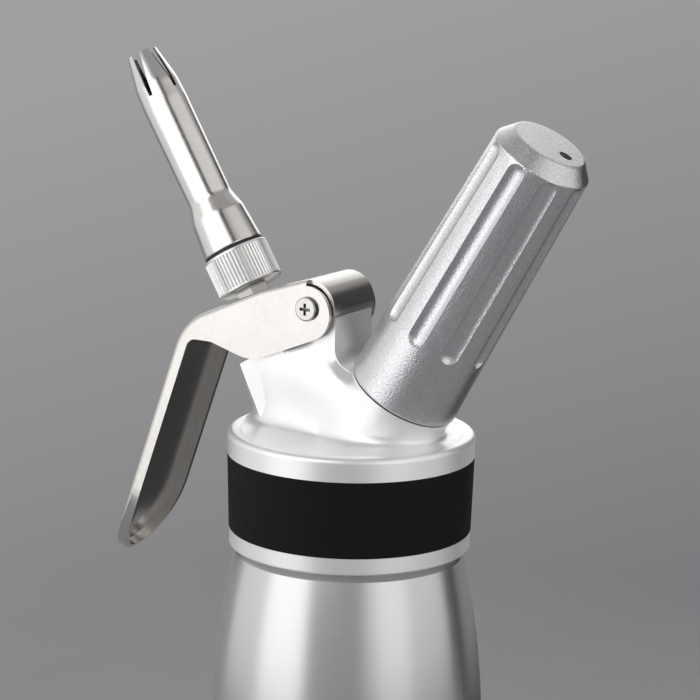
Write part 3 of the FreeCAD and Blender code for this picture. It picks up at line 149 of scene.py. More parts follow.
def angle_property(name, description, degrees):
    return FloatProperty(name=name, description=description, subtype="ANGLE", default=math.radians(degrees))


def number_property(name, description, value):
    return FloatProperty(name=name, description=description, min=0, default=value)


class CoveSizes(bpy.types.PropertyGroup):
    step: length_property("Step", "Distance between the points of the evened surface", 0.5 * MM)
    foot: length_property("Foot", "Height at which the coves start, just under the head's top", 181.2 * MM)
    top: length_property("Top", "Height at which the coves end", 210.0 * MM)
    valley: length_property("Valley", "Height over which the middle of the head stays sharp", 199.0 * MM)
    valley_half: length_property("Valley's half", "Half the width of the middle that stays sharp", 9.0 * MM)
    reach: length_property("Reach", "Radius at which the coves end, over the rim", 35.5 * MM)
    ring: length_property("Ring", "Strip under the charger holder that stays sharp", 1.0 * MM)
    bore: length_property("Bore", "Radius round the valve's line that belongs to its bore", 9.5 * MM)
    tower: length_property("Tower", "Radius round the valve's line in which the top stays sharp", 16.5 * MM)
    socket: length_property("Socket", "Radius round the charger's line that belongs to its socket", 13.0 * MM)
    socket_depth: length_property("Socket depth", "Depth of the charger's socket", 12.0 * MM)
    least: length_property("Least rise", "Rise over the casting under which a cove is cut off", 0.02 * MM)
    bed: length_property("Bed", "Depth to which a cove's back lies in the casting", 0.3 * MM)
    hem: length_property("Hem", "Depth to which a cove's edge dips into the casting", 0.05 * MM)


class FinishColours(bpy.types.PropertyGroup):
    bottle: colour_property("Bottle", "Brushed stainless steel of the bottle", (0.70, 0.70, 0.71))
    lever: colour_property("Lever", "Tumbled stainless steel of the lever", (0.69, 0.672, 0.645))
    nozzle: colour_property("Nozzle", "Polished stainless steel of the nozzle", (0.78, 0.765, 0.745))
    collar: colour_property("Collar", "Bright knurled steel of the collar", (0.88, 0.875, 0.87))
    # The fittings' grey is darker than the steel's own, as painted shade under the collar.
    fittings: colour_property("Fittings", "Turned steel of the valve's parts", (0.42, 0.41, 0.40))
    screw: colour_property("Screw", "Steel of the pivot's screw and pin", (0.60, 0.59, 0.575))
    spring: colour_property("Spring", "Drawn spring wire", (0.60, 0.60, 0.60))
    charger: colour_property("Charger", "Zinc plated steel of the gas charger", (0.70, 0.71, 0.73))
    casting: colour_property("Casting", "Satin aluminium of the head", (0.90, 0.90, 0.90))
    holder: colour_property("Holder", "Bead blasted aluminium of the charger holder", (0.71, 0.71, 0.73))
    band: colour_property("Band", "Black silicone of the grip band", (0.004, 0.004, 0.006))
    seal: colour_property("Seals", "Black rubber of the seals", (0.015, 0.015, 0.016))
    gasket: colour_property("Gasket", "Clear silicone of the gaskets", (0.78, 0.78, 0.75))
    brass: colour_property("Brass", "Turned brass", (0.78, 0.60, 0.30))
    nylon: colour_property("Nylon", "Natural nylon of the washers and the bush", (0.80, 0.79, 0.75))


class StageSizes(bpy.types.PropertyGroup):
    azimuth: angle_property("Azimuth", "Camera's turn about the object", 31.98)
    elevation: angle_property("Elevation", "Camera's height as an angle", 11.84)
    roll: angle_property("Roll", "Camera's turn about its own line of sight", 1.12)
    distance: length_property("Distance", "From the camera to the point it looks at", 738.3 * MM)
    aim_side: FloatProperty(
        name="Aim, sideways", description="Sideways shift of the point looked at",
        subtype="DISTANCE", unit="LENGTH", default=-0.898 * MM,
    )
    aim_height: length_property("Aim, height", "Height of the point looked at", 206.57 * MM)
    lens: number_property("Lens", "Focal length in millimetres", 129.8)
    floor_start: length_property("Floor", "Radius up to which the floor is whole", 0.22)
    floor_end: length_property("Floor's end", "Radius at which the floor has faded out", 0.48)
    floor_colour: colour_property("Floor colour", "Pale grey of the floor", (0.226, 0.226, 0.233))
    low_colour: colour_property("Low background", "Background well below the horizon", (0.195, 0.195, 0.205))
    high_colour: colour_property("High background", "Background near the horizon", (0.352, 0.346, 0.348))
    lean: number_property("Lean", "How much lower the background grows light on the camera's left", 0.048)
    soft_light: number_property("Soft light", "Strength of the light from all round", 0.75)
    key_glow: number_property("Key", "Glow of the tall soft box on the left and of the one beside it", 1.15)
    left_glow: number_property("Left", "Glow of the dim panel further left", 0.5)
    side_glow: number_property("Side", "Glow of the low soft box on the right", 0.34)
    panel_glow: number_property("Panel", "Glow of the dim panel on the right", 0.44)
    back_glow: number_property("Back", "Glow of the soft box behind", 1.08)
    top_glow: number_property("Top", "Glow of the soft box above and behind", 0.32)


# ---------------------------------------------------------------- finishes


def add_node(tree, kind, **settings):
    made = tree.nodes.new(kind)
    for key, value in settings.items():
        setattr(made, key, value)
    return made


def math_of(tree, operation, first, second):
    """The result of an operation on two values, each a number or a socket."""
    made = add_node(tree, "ShaderNodeMath", operation=operation)
    for socket, value in zip(made.inputs, (first, second)):
        if isinstance(value, (int, float)):
            socket.default_value = value
        else:
            tree.links.new(value, socket)
    return made.outputs["Value"]


def range_of(tree, value, low, high, start, stop):
    """Goes from low to high while a socket's value goes from start to stop, and no further."""
    made = add_node(tree, "ShaderNodeMapRange", clamp=True)
    ends = {"From Min": start, "From Max": stop, "To Min": low, "To Max": high}
    for socket, end in ends.items():
        made.inputs[socket].default_value = end
    tree.links.new(value, made.inputs["Value"])
    return made.outputs["Result"]


class Finish:
    """A material in the making. Every pattern reads Object coordinates, in metres."""

    def __init__(self, name, colour, metallic, roughness):
        self.material = bpy.data.materials.new(name)
        self.material.use_nodes = True
        self.tree = self.material.node_tree
        self.shader = self.tree.nodes["Principled BSDF"]
        self.colour = tuple(colour)
        self.set("Base Color", (*self.colour, 1))
        self.set("Metallic", metallic)
        self.set("Roughness", roughness)
        self.height = None

    def set(self, socket, value):
        self.shader.inputs[socket].default_value = value

    def node(self, kind, **settings):
        return add_node(self.tree, kind, **settings)

    def join(self, source, target):
        self.tree.links.new(source, target)

    def place(self, scale=(1, 1, 1), point=(0, 0, 0), turn=0.0):
        """Object coordinates seen from a point on a leaning line, then stretched."""
        source = self.node("ShaderNodeTexCoord").outputs["Object"]
        local = self.node("ShaderNodeMapping", vector_type="TEXTURE")
        local.inputs["Location"].default_value = point
        local.inputs["Rotation"].default_value = (0, turn, 0)
        self.join(source, local.inputs["Vector"])
        stretched = self.node("ShaderNodeMapping", vector_type="POINT")
        stretched.inputs["Scale"].default_value = scale
        self.join(local.outputs["Vector"], stretched.inputs["Vector"])
        return stretched.outputs["Vector"]

    def radius(self, place):
        """Distance from the z axis."""
        flat = self.node("ShaderNodeVectorMath", operation="MULTIPLY")
        flat.inputs[1].default_value = (1, 1, 0)
        self.join(place, flat.inputs[0])
        length = self.node("ShaderNodeVectorMath", operation="LENGTH")
        self.join(flat.outputs["Vector"], length.inputs[0])
        return length.outputs["Value"]

    def turned(self, around, along, point=(0, 0, 0), turn=0.0):
        """Coordinates whose third value runs along a turned piece's profile, so that noise makes rings."""
        local = self.place(point=point, turn=turn)
        parts = self.node("ShaderNodeSeparateXYZ")
        self.join(local, parts.inputs[0])
        run = self.math("ADD", self.radius(local), parts.outputs["Z"])
        packed = self.node("ShaderNodeCombineXYZ")
        self.join(self.math("MULTIPLY", parts.outputs["X"], around), packed.inputs["X"])
        self.join(self.math("MULTIPLY", parts.outputs["Y"], around), packed.inputs["Y"])
        self.join(self.math("MULTIPLY", run, along), packed.inputs["Z"])
        return packed.outputs["Vector"]

    def math(self, operation, first, second):
        return math_of(self.tree, operation, first, second)

    def noise(self, vector, scale=1.0, detail=3.0, rough=0.5):
        made = self.node("ShaderNodeTexNoise", noise_dimensions="3D")
        made.inputs["Scale"].default_value = scale
        made.inputs["Detail"].default_value = detail
        made.inputs["Roughness"].default_value = rough
        self.join(vector, made.inputs["Vector"])
        return made.outputs["Fac"]

    def cells(self, vector, scale):
        made = self.node("ShaderNodeTexVoronoi", feature="F1")
        made.inputs["Scale"].default_value = scale
        self.join(vector, made.inputs["Vector"])
        return made.outputs["Distance"]

    def spread(self, value, low, high, start=NOISE_LOW, stop=NOISE_HIGH):
        return range_of(self.tree, value, low, high, start, stop)

    def rough(self, value, low, high):
        self.join(self.spread(value, low, high), self.shader.inputs["Roughness"])

    def tint(self, value, dark, light, start=NOISE_LOW, stop=NOISE_HIGH):
        """The finish's colour, made darker and lighter by a pattern."""
        ramp = self.node("ShaderNodeValToRGB")
        for mark, at, share in zip(ramp.color_ramp.elements, (start, stop), (dark, light)):
            mark.position = at
            mark.color = (*(min(1.0, part * share) for part in self.colour), 1)
        self.join(value, ramp.inputs["Fac"])
        self.join(ramp.outputs["Color"], self.shader.inputs["Base Color"])

    def shade(self, share):
        """Paints shade into the colour: darkens it where the share is under 1."""
        base = self.shader.inputs["Base Color"]
        scaled = self.node("ShaderNodeVectorMath", operation="SCALE")
        self.join(base.links[0].from_socket, scaled.inputs[0])
        self.join(share, scaled.inputs["Scale"])
        self.join(scaled.outputs["Vector"], base)

    def bump(self, value, depth, strength):
        made = self.node("ShaderNodeBump")
        made.inputs["Distance"].default_value = depth
        made.inputs["Strength"].default_value = strength
        self.join(value, made.inputs["Height"])
        if self.height is not None:
            self.join(self.height, made.inputs["Normal"])
        self.height = made.outputs["Normal"]
        self.join(self.height, self.shader.inputs["Normal"])


def brushed_steel(colour):
    """Stainless steel brushed round and round, with a few fine scratches."""
    finish = Finish("bottle_brushed_steel", colour, 1.0, 0.3)
    fine = finish.noise(finish.turned(30, 5200), detail=3)
    coarse = finish.noise(finish.turned(12, 1300), detail=2)
    both = finish.math("ADD", finish.math("MULTIPLY", fine, 0.7), finish.math("MULTIPLY", coarse, 0.3))
    finish.rough(both, 0.28, 0.33)
    finish.tint(both, 0.97, 1.02)
    finish.bump(fine, 0.006 * MM, 0.2)
    finish.set("Anisotropic", 0.4)
    finish.set("Anisotropic Rotation", 0.25)
    tangent = finish.node("ShaderNodeTangent", direction_type="RADIAL", axis="Z")
    finish.join(tangent.outputs["Tangent"], finish.shader.inputs["Tangent"])
    return finish


def turned_metal(name, colour, roughness, point, turn, depth=0.002):
    """Metal turned on a lathe: fine rings round its own line."""
    finish = Finish(name, colour, 1.0, roughness)
    rings = finish.noise(finish.turned(25, 2600, point, turn), detail=2)
    cloud = finish.noise(finish.place(), scale=90, detail=3)
    finish.rough(rings, roughness * 0.85, roughness * 1.2)
    finish.tint(cloud, 0.95, 1.04)
    finish.bump(rings, depth * MM, 0.4)
    return finish


def nozzle_steel(colour):
    """Polished turned steel, with painted shade inside the nozzle and between the teeth of its mouth."""
    finish = turned_metal("nozzle_steel", colour, 0.21, VALVE_POINT, VALVE_TURN, 0.0006)
    local = finish.place(point=VALVE_POINT, turn=VALVE_TURN)
    parts = finish.node("ShaderNodeSeparateXYZ")
    finish.join(local, parts.inputs[0])
    outline = finish.node("ShaderNodeFloatCurve")
    curve = outline.mapping.curves[0]
    for _ in NOZZLE_OUTLINE[2:]:
        curve.points.new(0.5, 0.5)
    for mark, (height, radius) in zip(curve.points, NOZZLE_OUTLINE):
        mark.location = (height / CURVE_HEIGHT, radius / CURVE_RADIUS)
        mark.handle_type = "VECTOR"
    outline.mapping.update()
    finish.join(finish.math("DIVIDE", parts.outputs["Z"], CURVE_HEIGHT * MM), outline.inputs["Value"])
    skin = finish.math("MULTIPLY", outline.outputs["Value"], CURVE_RADIUS * MM)
    depth = finish.math("SUBTRACT", skin, finish.radius(local))
    # Painted shade: darker the deeper a point lies under the outline's skin, inside the nozzle and in the
    # slots of its mouth.
    finish.shade(finish.spread(depth, 1.0, 0.12, 0.15 * MM, 0.5 * MM))
    return finish


def knurled_steel(colour):
    """Bright turned steel, with painted shade in the grooves of its knurl."""
    finish = turned_metal("collar_steel", colour, 0.34, VALVE_POINT, VALVE_TURN, 0.001)
    radius = finish.radius(finish.place(point=VALVE_POINT, turn=VALVE_TURN))
    land = finish.spread(radius, 0.3, 1.0, 9.5 * MM, 9.68 * MM)
    core = finish.spread(radius, 1.0, 0.3, 9.0 * MM, 9.4 * MM)
    # Painted shade: the colour is dark at radii between the core and the lands, in the grooves of the knurl.
    finish.shade(finish.math("MAXIMUM", land, core))
    return finish


def screw_steel(colour):
    """Tumbled steel, with painted shade in the recess of the screw's head and round its edge."""
    finish = tumbled_steel("screw_steel", colour, 0.22)
    parts = finish.node("ShaderNodeSeparateXYZ")
    finish.join(finish.place(), parts.inputs[0])
    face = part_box("pivot_screw")[0].y
    # Painted shade: darker the deeper a point lies behind the head's face, in its recess and round its edge.
    finish.shade(finish.spread(parts.outputs["Y"], 1.0, 0.2, face + 0.15 * MM, face + 0.55 * MM))
    return finish


def tumbled_steel(name, colour, roughness):
    """Pressed sheet steel, tumbled to a soft polish: slight waves and a faint grain."""
    finish = Finish(name, colour, 1.0, roughness)
    waves = finish.noise(finish.place(), scale=70, detail=2)
    grain = finish.noise(finish.place(scale=(900, 3200, 900)), detail=3)
    finish.rough(grain, roughness * 0.88, roughness * 1.2)
    finish.tint(waves, 0.96, 1.03)
    finish.bump(waves, 0.1 * MM, 0.3)
    finish.bump(grain, 0.003 * MM, 0.4)
    return finish


def blasted_metal(name, colour, roughness, grain_size, depth, contrast):
    """Aluminium with the grain of bead blasting. The grain's size and depth are in millimetres."""
    finish = Finish(name, colour, 1.0, roughness)
    place = finish.place()
    grain = finish.noise(place, scale=1 / (grain_size * MM), detail=3, rough=0.65)
    dents = finish.cells(place, 0.75 / (grain_size * MM))
    cloud = finish.noise(place, scale=60, detail=3)
    finish.rough(cloud, roughness * 0.92, roughness * 1.1)
    finish.tint(grain, 1 - contrast, 1 + contrast)
    finish.bump(dents, depth * MM, 0.5)
    finish.bump(grain, depth * MM, 0.6)
    return finish


def silicone(name, colour, roughness, clear=0.0):
    """Moulded silicone: matte, with a very fine tooth and a little dust."""
    finish = Finish(name, colour, 0.0, roughness)
    place = finish.place()
    tooth = finish.noise(place, scale=2600, detail=3)
    dust = finish.noise(place, scale=420, detail=5, rough=0.7)
    finish.rough(dust, roughness * 0.9, roughness * 1.15)
    finish.tint(dust, 0.85, 1.5, start=0.45, stop=0.85)
    finish.bump(tooth, 0.03 * MM, 0.5)
    finish.set("Transmission Weight", clear)
    finish.set("IOR", 1.42)
    return finish


def nylon(colour):
    """Natural nylon, faintly mottled."""
    finish = Finish("nylon", colour, 0.0, 0.45)
    mottle = finish.noise(finish.place(), scale=500, detail=4)
    finish.rough(mottle, 0.4, 0.55)
    finish.tint(mottle, 0.92, 1.05)
    finish.bump(mottle, 0.02 * MM, 0.4)
    finish.set("Subsurface Weight", 0.1)
    finish.set("Subsurface Radius", (0.001, 0.001, 0.0008))
    return finish


def drawn_wire(colour):
    """Spring wire with the faint lines of its drawing die."""
    finish = Finish("spring_wire", colour, 1.0, 0.28)
    lines = finish.noise(finish.place(), scale=1500, detail=4)
    finish.rough(lines, 0.2, 0.4)
    finish.tint(lines, 0.9, 1.06)
    finish.bump(lines, 0.01 * MM, 0.4)
    return finish


def coat(piece, finish):
    """Gives the whole piece one finish."""
    piece.data.materials.clear()
    piece.data.materials.append(finish.material)
    for face in piece.data.polygons:
        face.material_index = 0


def coat_nodes(finish, *names):
    for name in names:
        coat(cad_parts[name], finish)


# ---------------------------------------------------------------- the head's coves


def line_of(turn):
    """The upward direction of a line that leans by a turn about the y axis."""
    return Vector((math.sin(turn), 0, math.cos(turn)))


def leaning(place, point, turn):
    """How far a place is along a leaning line, and how far from it."""
    line = line_of(turn)
    offset = place - point
    along = offset.dot(line)
    return along, (offset - line * along).length


def room_for_cove(place, sizes):
    """How far a place is inside the part of the casting that is smoothed, or a negative number outside it."""
    along, apart = leaning(place, CHARGER_POINT, CHARGER_TURN)
    if apart < sizes.socket and along > -sizes.socket_depth:
        return NO_ROOM
    up, aside = leaning(place, VALVE_POINT, VALVE_TURN)
    if aside < sizes.bore or place.z < sizes.foot:
        return NO_ROOM
    if place.z > sizes.valley and abs(place.y) < sizes.valley_half:
        return NO_ROOM
    room = min(sizes.reach - place.xy.length, sizes.top - place.z, -sizes.ring - along)
    return min(room, -sizes.ring - up) if aside < sizes.tower else room


def add_fill(shape):
    """Adds the block that fills the ledge over the side walls, cut off under the charger holder."""
    fill = bmesh.new()
    rings = []
    for x, shoulder, shoulder_z, top, top_z, foot in FILL:
        corners = [(foot, FILL_FOOT / MM), (shoulder, shoulder_z), (top, top_z)]
        corners += [(-y, z) for y, z in reversed(corners)]
        ring = [fill.verts.new(Vector((x, y, z)) * MM) for y, z in corners]
        rings.append([fill.edges.new(pair) for pair in zip(ring, ring[1:] + ring[:1])])
    for near, far in zip(rings, rings[1:]):
        bmesh.ops.bridge_loops(fill, edges=near + far)
    for end in (rings[0], rings[-1]):
        bmesh.ops.contextual_create(fill, geom=end)
    line = line_of(CHARGER_TURN)
    cut = bmesh.ops.bisect_plane(
        fill, geom=[*fill.verts, *fill.edges, *fill.faces],
        plane_co=CHARGER_POINT - line * FILL_GAP, plane_no=line, clear_outer=True,
    )
    bmesh.ops.contextual_create(fill, geom=[e for e in cut["geom_cut"] if isinstance(e, bmesh.types.BMEdge)])
    merge(shape, fill)


def add_flare(shape):
    """Adds the block that flares the tower's foot, on the side over which the tower leans."""
    flare = bmesh.new()
    rings = []
    for height, out in FLARE:
        drop = VALVE_POINT.z - height * MM
        centre = Vector((VALVE_POINT.x - drop * math.tan(VALVE_TURN), 0, height * MM))
        halves = [half + share * out for half, share in zip(FLARE_HALVES, (1, FLARE_SIDE))]
        ring = bmesh.ops.create_circle(flare, segments=FLARE_SIDES, radius=MM)["verts"]
        bmesh.ops.scale(flare, verts=ring, vec=(*halves, 1))
        bmesh.ops.translate(flare, verts=ring, vec=centre)
        rings.append(list(dict.fromkeys(edge for vert in ring for edge in vert.link_edges)))
    for near, far in zip(rings, rings[1:]):
        bmesh.ops.bridge_loops(flare, edges=near + far)
    for end in (rings[0], rings[-1]):
        bmesh.ops.contextual_create(flare, geom=end)
    merge(shape, flare)


def merge(shape, block):
    """Adds a closed block to a shape."""
    bmesh.ops.recalc_face_normals(block, faces=block.faces)
    data = bpy.data.meshes.new("block")
    block.to_mesh(data)
    block.free()
    shape.from_mesh(data)
    bpy.data.meshes.remove(data)


def welded(node):
    """The shape of a CAD node, with its doubled points joined."""
    shape = bmesh.new()
    shape.from_mesh(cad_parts[node].data)
    bmesh.ops.remove_doubles(shape, verts=shape.verts, dist=WELD)
    return shape


def add_object(name, data):
    """Makes an object and puts it in the scene."""
    made = bpy.data.objects.new(name, data)
    bpy.context.scene.collection.objects.link(made)
    return made


def even_surface(node, step):
    """A filled copy of a node with even faces, and trees that find the nearest point of the node and of the
    copy before its faces are evened."""
    shape = welded(node)
    tree = BVHTree.FromBMesh(shape)
    add_fill(shape)
    add_flare(shape)
    filled = BVHTree.FromBMesh(shape)
    data = bpy.data.meshes.new("evened")
    shape.to_mesh(data)
    shape.free()
    copy = add_object("evened", data)
    remesh = copy.modifiers.new("even", "REMESH")
    remesh.mode = "VOXEL"
    remesh.voxel_size = step
    graph = bpy.context.evaluated_depsgraph_get()
    evened = bpy.data.meshes.new_from_object(copy.evaluated_get(graph))
    surface = bmesh.new()
    surface.from_mesh(evened)
    bpy.data.objects.remove(copy)
    bpy.data.meshes.remove(data)
    bpy.data.meshes.remove(evened)
    return surface, tree, filled


def rise_over(tree, place):
    """How far a place is above the nearest face."""
    near, normal = tree.find_nearest(place)[:2]
    return (place - near).dot(normal)


def sunk(tree, place, depth):
    """The nearest point of the faces, sunk to a depth under them."""
    near, normal = tree.find_nearest(place)[:2]
    return near - normal * depth


def islands(faces):
    """Groups of faces that share edges."""
    left = set(faces)
    groups = []
    for start in faces:
        if start not in left:
            continue
        left.discard(start)
        group, edge = [], [start]
        while edge:
            face = edge.pop()
            group.append(face)
            for other in {f for e in face.edges for f in e.link_faces} & left:
                left.discard(other)
                edge.append(other)
        groups.append(group)
    return groups


def head_coves(sizes):
    """The soft coves between the head's top and the walls that rise from it."""
    cove, tree, filled = even_surface("head_casting", sizes.step)
    away = [v for v in cove.verts if room_for_cove(v.co, sizes) < -STRIP]
    bmesh.ops.delete(cove, geom=away, context="VERTS")
    for vert in cove.verts:
        vert.co = filled.find_nearest(vert.co)[0]
    room = {v: NO_ROOM if v.is_boundary else room_for_cove(v.co, sizes) for v in cove.verts}
    for margin, rounds in SMOOTHING:
        loose = [v for v in cove.verts if room[v] > margin]
        for _ in range(rounds):
            bmesh.ops.smooth_vert(
                cove, verts=loose, factor=0.5, use_axis_x=True, use_axis_y=True, use_axis_z=True
            )
    cove.normal_update()
    facing = cove.verts.layers.float_vector.new("facing")
    rises = {}
    for vert in cove.verts:
        vert[facing] = vert.normal
        rises[vert] = rise_over(tree, vert.co)
    low = [f for f in cove.faces if max(rises[v] for v in f.verts) < sizes.least]
    bmesh.ops.delete(cove, geom=low, context="FACES")
    specks = [f for group in islands(list(cove.faces)) if len(group) < SPECK for f in group]
    bmesh.ops.delete(cove, geom=specks, context="FACES")
    for vert in [v for v in cove.verts if v.is_boundary]:
        vert.co = sunk(tree, vert.co, sizes.hem)
    back = list(cove.verts)
    bmesh.ops.extrude_face_region(cove, geom=list(cove.faces), use_keep_orig=True)
    for vert in back:
        vert.co = sunk(tree, vert.co, sizes.bed)
        vert[facing] = -vert[facing]
    bmesh.ops.recalc_face_normals(cove, faces=cove.faces)
    facings = [tuple(v[facing]) for v in cove.verts]
    data = bpy.data.meshes.new("head_coves")
    cove.to_mesh(data)
    cove.free()
    data.shade_smooth()
    data.normals_split_custom_set_from_vertices(facings)
    return add_object("head_coves", data)


# ---------------------------------------------------------------- the return spring


def shortening_spring():
    """A copy of the return spring, with the heights of its ends on the valve's line."""
    shape = welded("return_spring")
    heights = [leaning(vert.co, VALVE_POINT, VALVE_TURN)[0] for vert in shape.verts]
    data = bpy.data.meshes.new("shortening_spring")
    shape.to_mesh(data)
    shape.free()
    data.shade_smooth()
    data.set_sharp_from_angle(angle=CREASE)
    return add_object("shortening_spring", data), min(heights), max(heights)


# ---------------------------------------------------------------- operators


class DISPENSER_OT_casting(bpy.types.Operator):
    """Finish the head casting in satin aluminium, with soft coves at the foot of its walls"""

    bl_idname = "dispenser.casting"
    bl_label = "Head casting"

    def execute(self, context):
        scene = context.scene
        satin = blasted_metal(
            "satin_casting", scene.dispenser_colours.casting, roughness=0.38, grain_size=0.25, depth=0.008,
            contrast=0.03,
        )
        satin.set("Metallic", 0.8)
        coat_nodes(satin, "head_casting")
        coves = head_coves(scene.dispenser_coves)
        coat(coves, satin)
        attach(coves, "head")
        return {"FINISHED"}


class DISPENSER_OT_bottle(bpy.types.Operator):
    """Finish the bottle in brushed steel, and its gasket and grip band in silicone"""

    bl_idname = "dispenser.bottle"
    bl_label = "Bottle and band"

    def execute(self, context):
        colours = context.scene.dispenser_colours
        coat_nodes(brushed_steel(colours.bottle), "bottle")
        band = silicone("band_silicone", colours.band, 0.6)
        band.set("Specular IOR Level", 0.2)
        coat_nodes(band, "grip_band")
        coat_nodes(
            silicone("gasket_silicone", colours.gasket, 0.3, clear=0.35),
            "head_gasket", "charger_gasket", "check_valve_flap",
        )
        return {"FINISHED"}


class DISPENSER_OT_valve(bpy.types.Operator):
    """Finish the valve, its spring and seals"""

    bl_idname = "dispenser.valve"
    bl_label = "Valve"

    def execute(self, context):
        colours = context.scene.dispenser_colours
        # The fittings' dark grey is partly painted shade under the collar.
        fittings = turned_metal("valve_fittings", colours.fittings, 0.14, VALVE_POINT, VALVE_TURN)
        coat_nodes(fittings, "piston", "gland_nut", "spring_cap", "hex_neck")
        spring, low, high = shortening_spring()
        coat(spring, drawn_wire(colours.spring))
        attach(spring, "head")
        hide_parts("return_spring")
        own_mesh(spring)
        coat_nodes(
            silicone("seal_rubber", colours.seal, 0.4),
            "valve_seal", "stem_o_ring", "nozzle_seal", "holder_seal",
        )
        return {"FINISHED"}


class DISPENSER_OT_nozzle(bpy.types.Operator):
    """Finish the decorator nozzle and its knurled collar"""

    bl_idname = "dispenser.nozzle"
    bl_label = "Nozzle"

    def execute(self, context):
        colours = context.scene.dispenser_colours
        coat_nodes(nozzle_steel(colours.nozzle), "decorator_nozzle")
        coat_nodes(knurled_steel(colours.collar), "adapter_collar")
        return {"FINISHED"}


class DISPENSER_OT_charger(bpy.types.Operator):
    """Finish the charger holder, the gas charger and the piercing valve"""

    bl_idname = "dispenser.charger"
    bl_label = "Charger holder"

    def execute(self, context):
        colours = context.scene.dispenser_colours
        coat_nodes(
            blasted_metal(
                "blasted_holder", colours.holder, roughness=0.3, grain_size=0.45, depth=0.09, contrast=0.2,
            ),
            "charger_holder",
        )
        coat_nodes(
            turned_metal("charger_zinc", colours.charger, 0.25, CHARGER_POINT, CHARGER_TURN),
            "gas_charger", "piercing_pin",
        )
        coat_nodes(
            turned_metal("turned_brass", colours.brass, 0.2, CHARGER_POINT, CHARGER_TURN),
            "pin_holder", "check_valve_nut",
        )
        return {"FINISHED"}


class DISPENSER_OT_lever(bpy.types.Operator):
    """Finish the lever and its pivot"""

    bl_idname = "dispenser.lever"
    bl_label = "Lever"

    def execute(self, context):
        colours = context.scene.dispenser_colours
        coat_nodes(tumbled_steel("lever_steel", colours.lever, 0.22), "lever")
        coat_nodes(screw_steel(colours.screw), "pivot_pin", "pivot_screw")
        coat_nodes(nylon(colours.nylon), "washer_near", "washer_far", "pivot_bush")
        return {"FINISHED"}


class DISPENSER_OT_stage(bpy.types.Operator):
    """Set the floor, the lights, the background and the camera"""

    bl_idname = "dispenser.stage"
    bl_label = "Stage"

    def execute(self, context):
        sizes = context.scene.dispenser_stage
        lay_floor(sizes)
        hang_lights(sizes)
        hang_cards(sizes)
        paint_background(sizes)
        set_camera(sizes)
        context.scene.view_settings.view_transform = "Standard"
        return {"FINISHED"}


# ---------------------------------------------------------------- stage


def sheet(name, shape, finish):
    """Makes a bmesh into a part of the stage."""
    data = bpy.data.meshes.new(name)
    shape.to_mesh(data)
    shape.free()
    made = add_object(name, data)
    coat(made, finish)
    return made


def lay_floor(sizes):
    shape = bmesh.new()
    bmesh.ops.create_circle(shape, cap_ends=True, segments=FLOOR_SIDES, radius=sizes.floor_end)
    bmesh.ops.translate(shape, verts=shape.verts, vec=(0, 0, -FLOOR_DROP))
    finish = Finish("floor_paper", sizes.floor_colour, 0.0, 0.9)
    finish.tint(finish.noise(finish.place(), scale=40, detail=4), 0.985, 1.015)
    finish.set("Specular IOR Level", 0.2)
    fade = finish.spread(finish.radius(finish.place()), 1.0, 0.0, sizes.floor_start, sizes.floor_end)
    finish.join(fade, finish.shader.inputs["Alpha"])
    sheet("floor", shape, finish)


def around(sizes, turn, distance, height):
    """A place beside the object, its turn counted from the camera's side, to the right."""
    angle = sizes.azimuth + math.radians(turn)
    return Vector((math.sin(angle) * distance, -math.cos(angle) * distance, height))


def soft_box(name, size, glow, place, aim, colour=(1, 1, 1)):
    """An area lamp of a given glow, which is the brightness of its face."""
    lamp = bpy.data.lights.new(name, "AREA")
    lamp.shape = "RECTANGLE"
    lamp.size, lamp.size_y = size
    lamp.energy = glow * math.pi * size[0] * size[1]
    lamp.color = colour
    holder = add_object(name, lamp)
    holder.location = place
    holder.rotation_euler = (aim - place).to_track_quat("-Z", "Y").to_euler()
    holder.visible_camera = False


def hang_lights(sizes):
    """Soft boxes, each with its width and height, its glow, its turn, distance and height, and its tint."""
    white, warm = (1, 1, 1), (1, 0.97, 0.92)
    boxes = {
        "key": (0.384, 0.75, sizes.key_glow, -57, 0.5, 0.375, white),
        "key_high": (0.25, 0.42, sizes.key_glow, -24, 0.5, 0.54, white),
        "left": (0.42, 0.75, sizes.left_glow, -100, 0.5, 0.375, white),
        "side": (0.31, 0.36, sizes.side_glow, 40, 0.58, 0.18, white),
        "panel": (1.4, 1.1, sizes.panel_glow, 62, 0.64, 0.55, warm),
    }
    for name, (width, height, glow, turn, distance, middle, tint) in boxes.items():
        place = around(sizes, turn, distance, middle)
        soft_box(name, (width, height), glow, place, Vector((0, 0, middle)), tint)
    head = Vector((0, 0, 0.2))
    soft_box("back", (0.8, 0.42), sizes.back_glow, around(sizes, 180, 0.72, 0.46), head)
    soft_box("top", (0.8, 0.55), sizes.top_glow, around(sizes, 180, 0.46, 0.855), head)


def upright_card(start, end, distance, low, high):
    """Turns, distances and heights of the corners of a card that stands beside the object."""
    return (start, distance, low), (end, distance, low), (end, distance, high), (start, distance, high)


def lying_card(start, end, near, far, height):
    """Turns, distances and heights of the corners of a card that lies on the floor."""
    return (start, near, height), (end, near, height), (end, far, height), (start, far, height)


def hang_cards(sizes):
    """Black cards that only gloss sees: they draw the dark edges of the polished metal."""
    black = Finish("black_card", (0.02, 0.02, 0.022), 0.0, 0.9)
    black.tint(black.noise(black.place(), scale=30), 0.9, 1.1)
    cards = {
        "card_right": upright_card(99, 120, 0.46, 0, 0.46),
        "card_back": upright_card(119, 150, 0.46, 0.13, 0.46),
        "card_lying": lying_card(115, 165, 0.12, 0.48, 0.0005),
        "card_front": upright_card(-10, 10, 0.45, 0.42, 0.95),
    }
    for name, corners in cards.items():
        shape = bmesh.new()
        verts = [shape.verts.new(around(sizes, *corner)) for corner in corners]
        bmesh.ops.contextual_create(shape, geom=verts)
        card = sheet(name, shape, black)
        card.visible_camera = card.visible_shadow = card.visible_diffuse = False


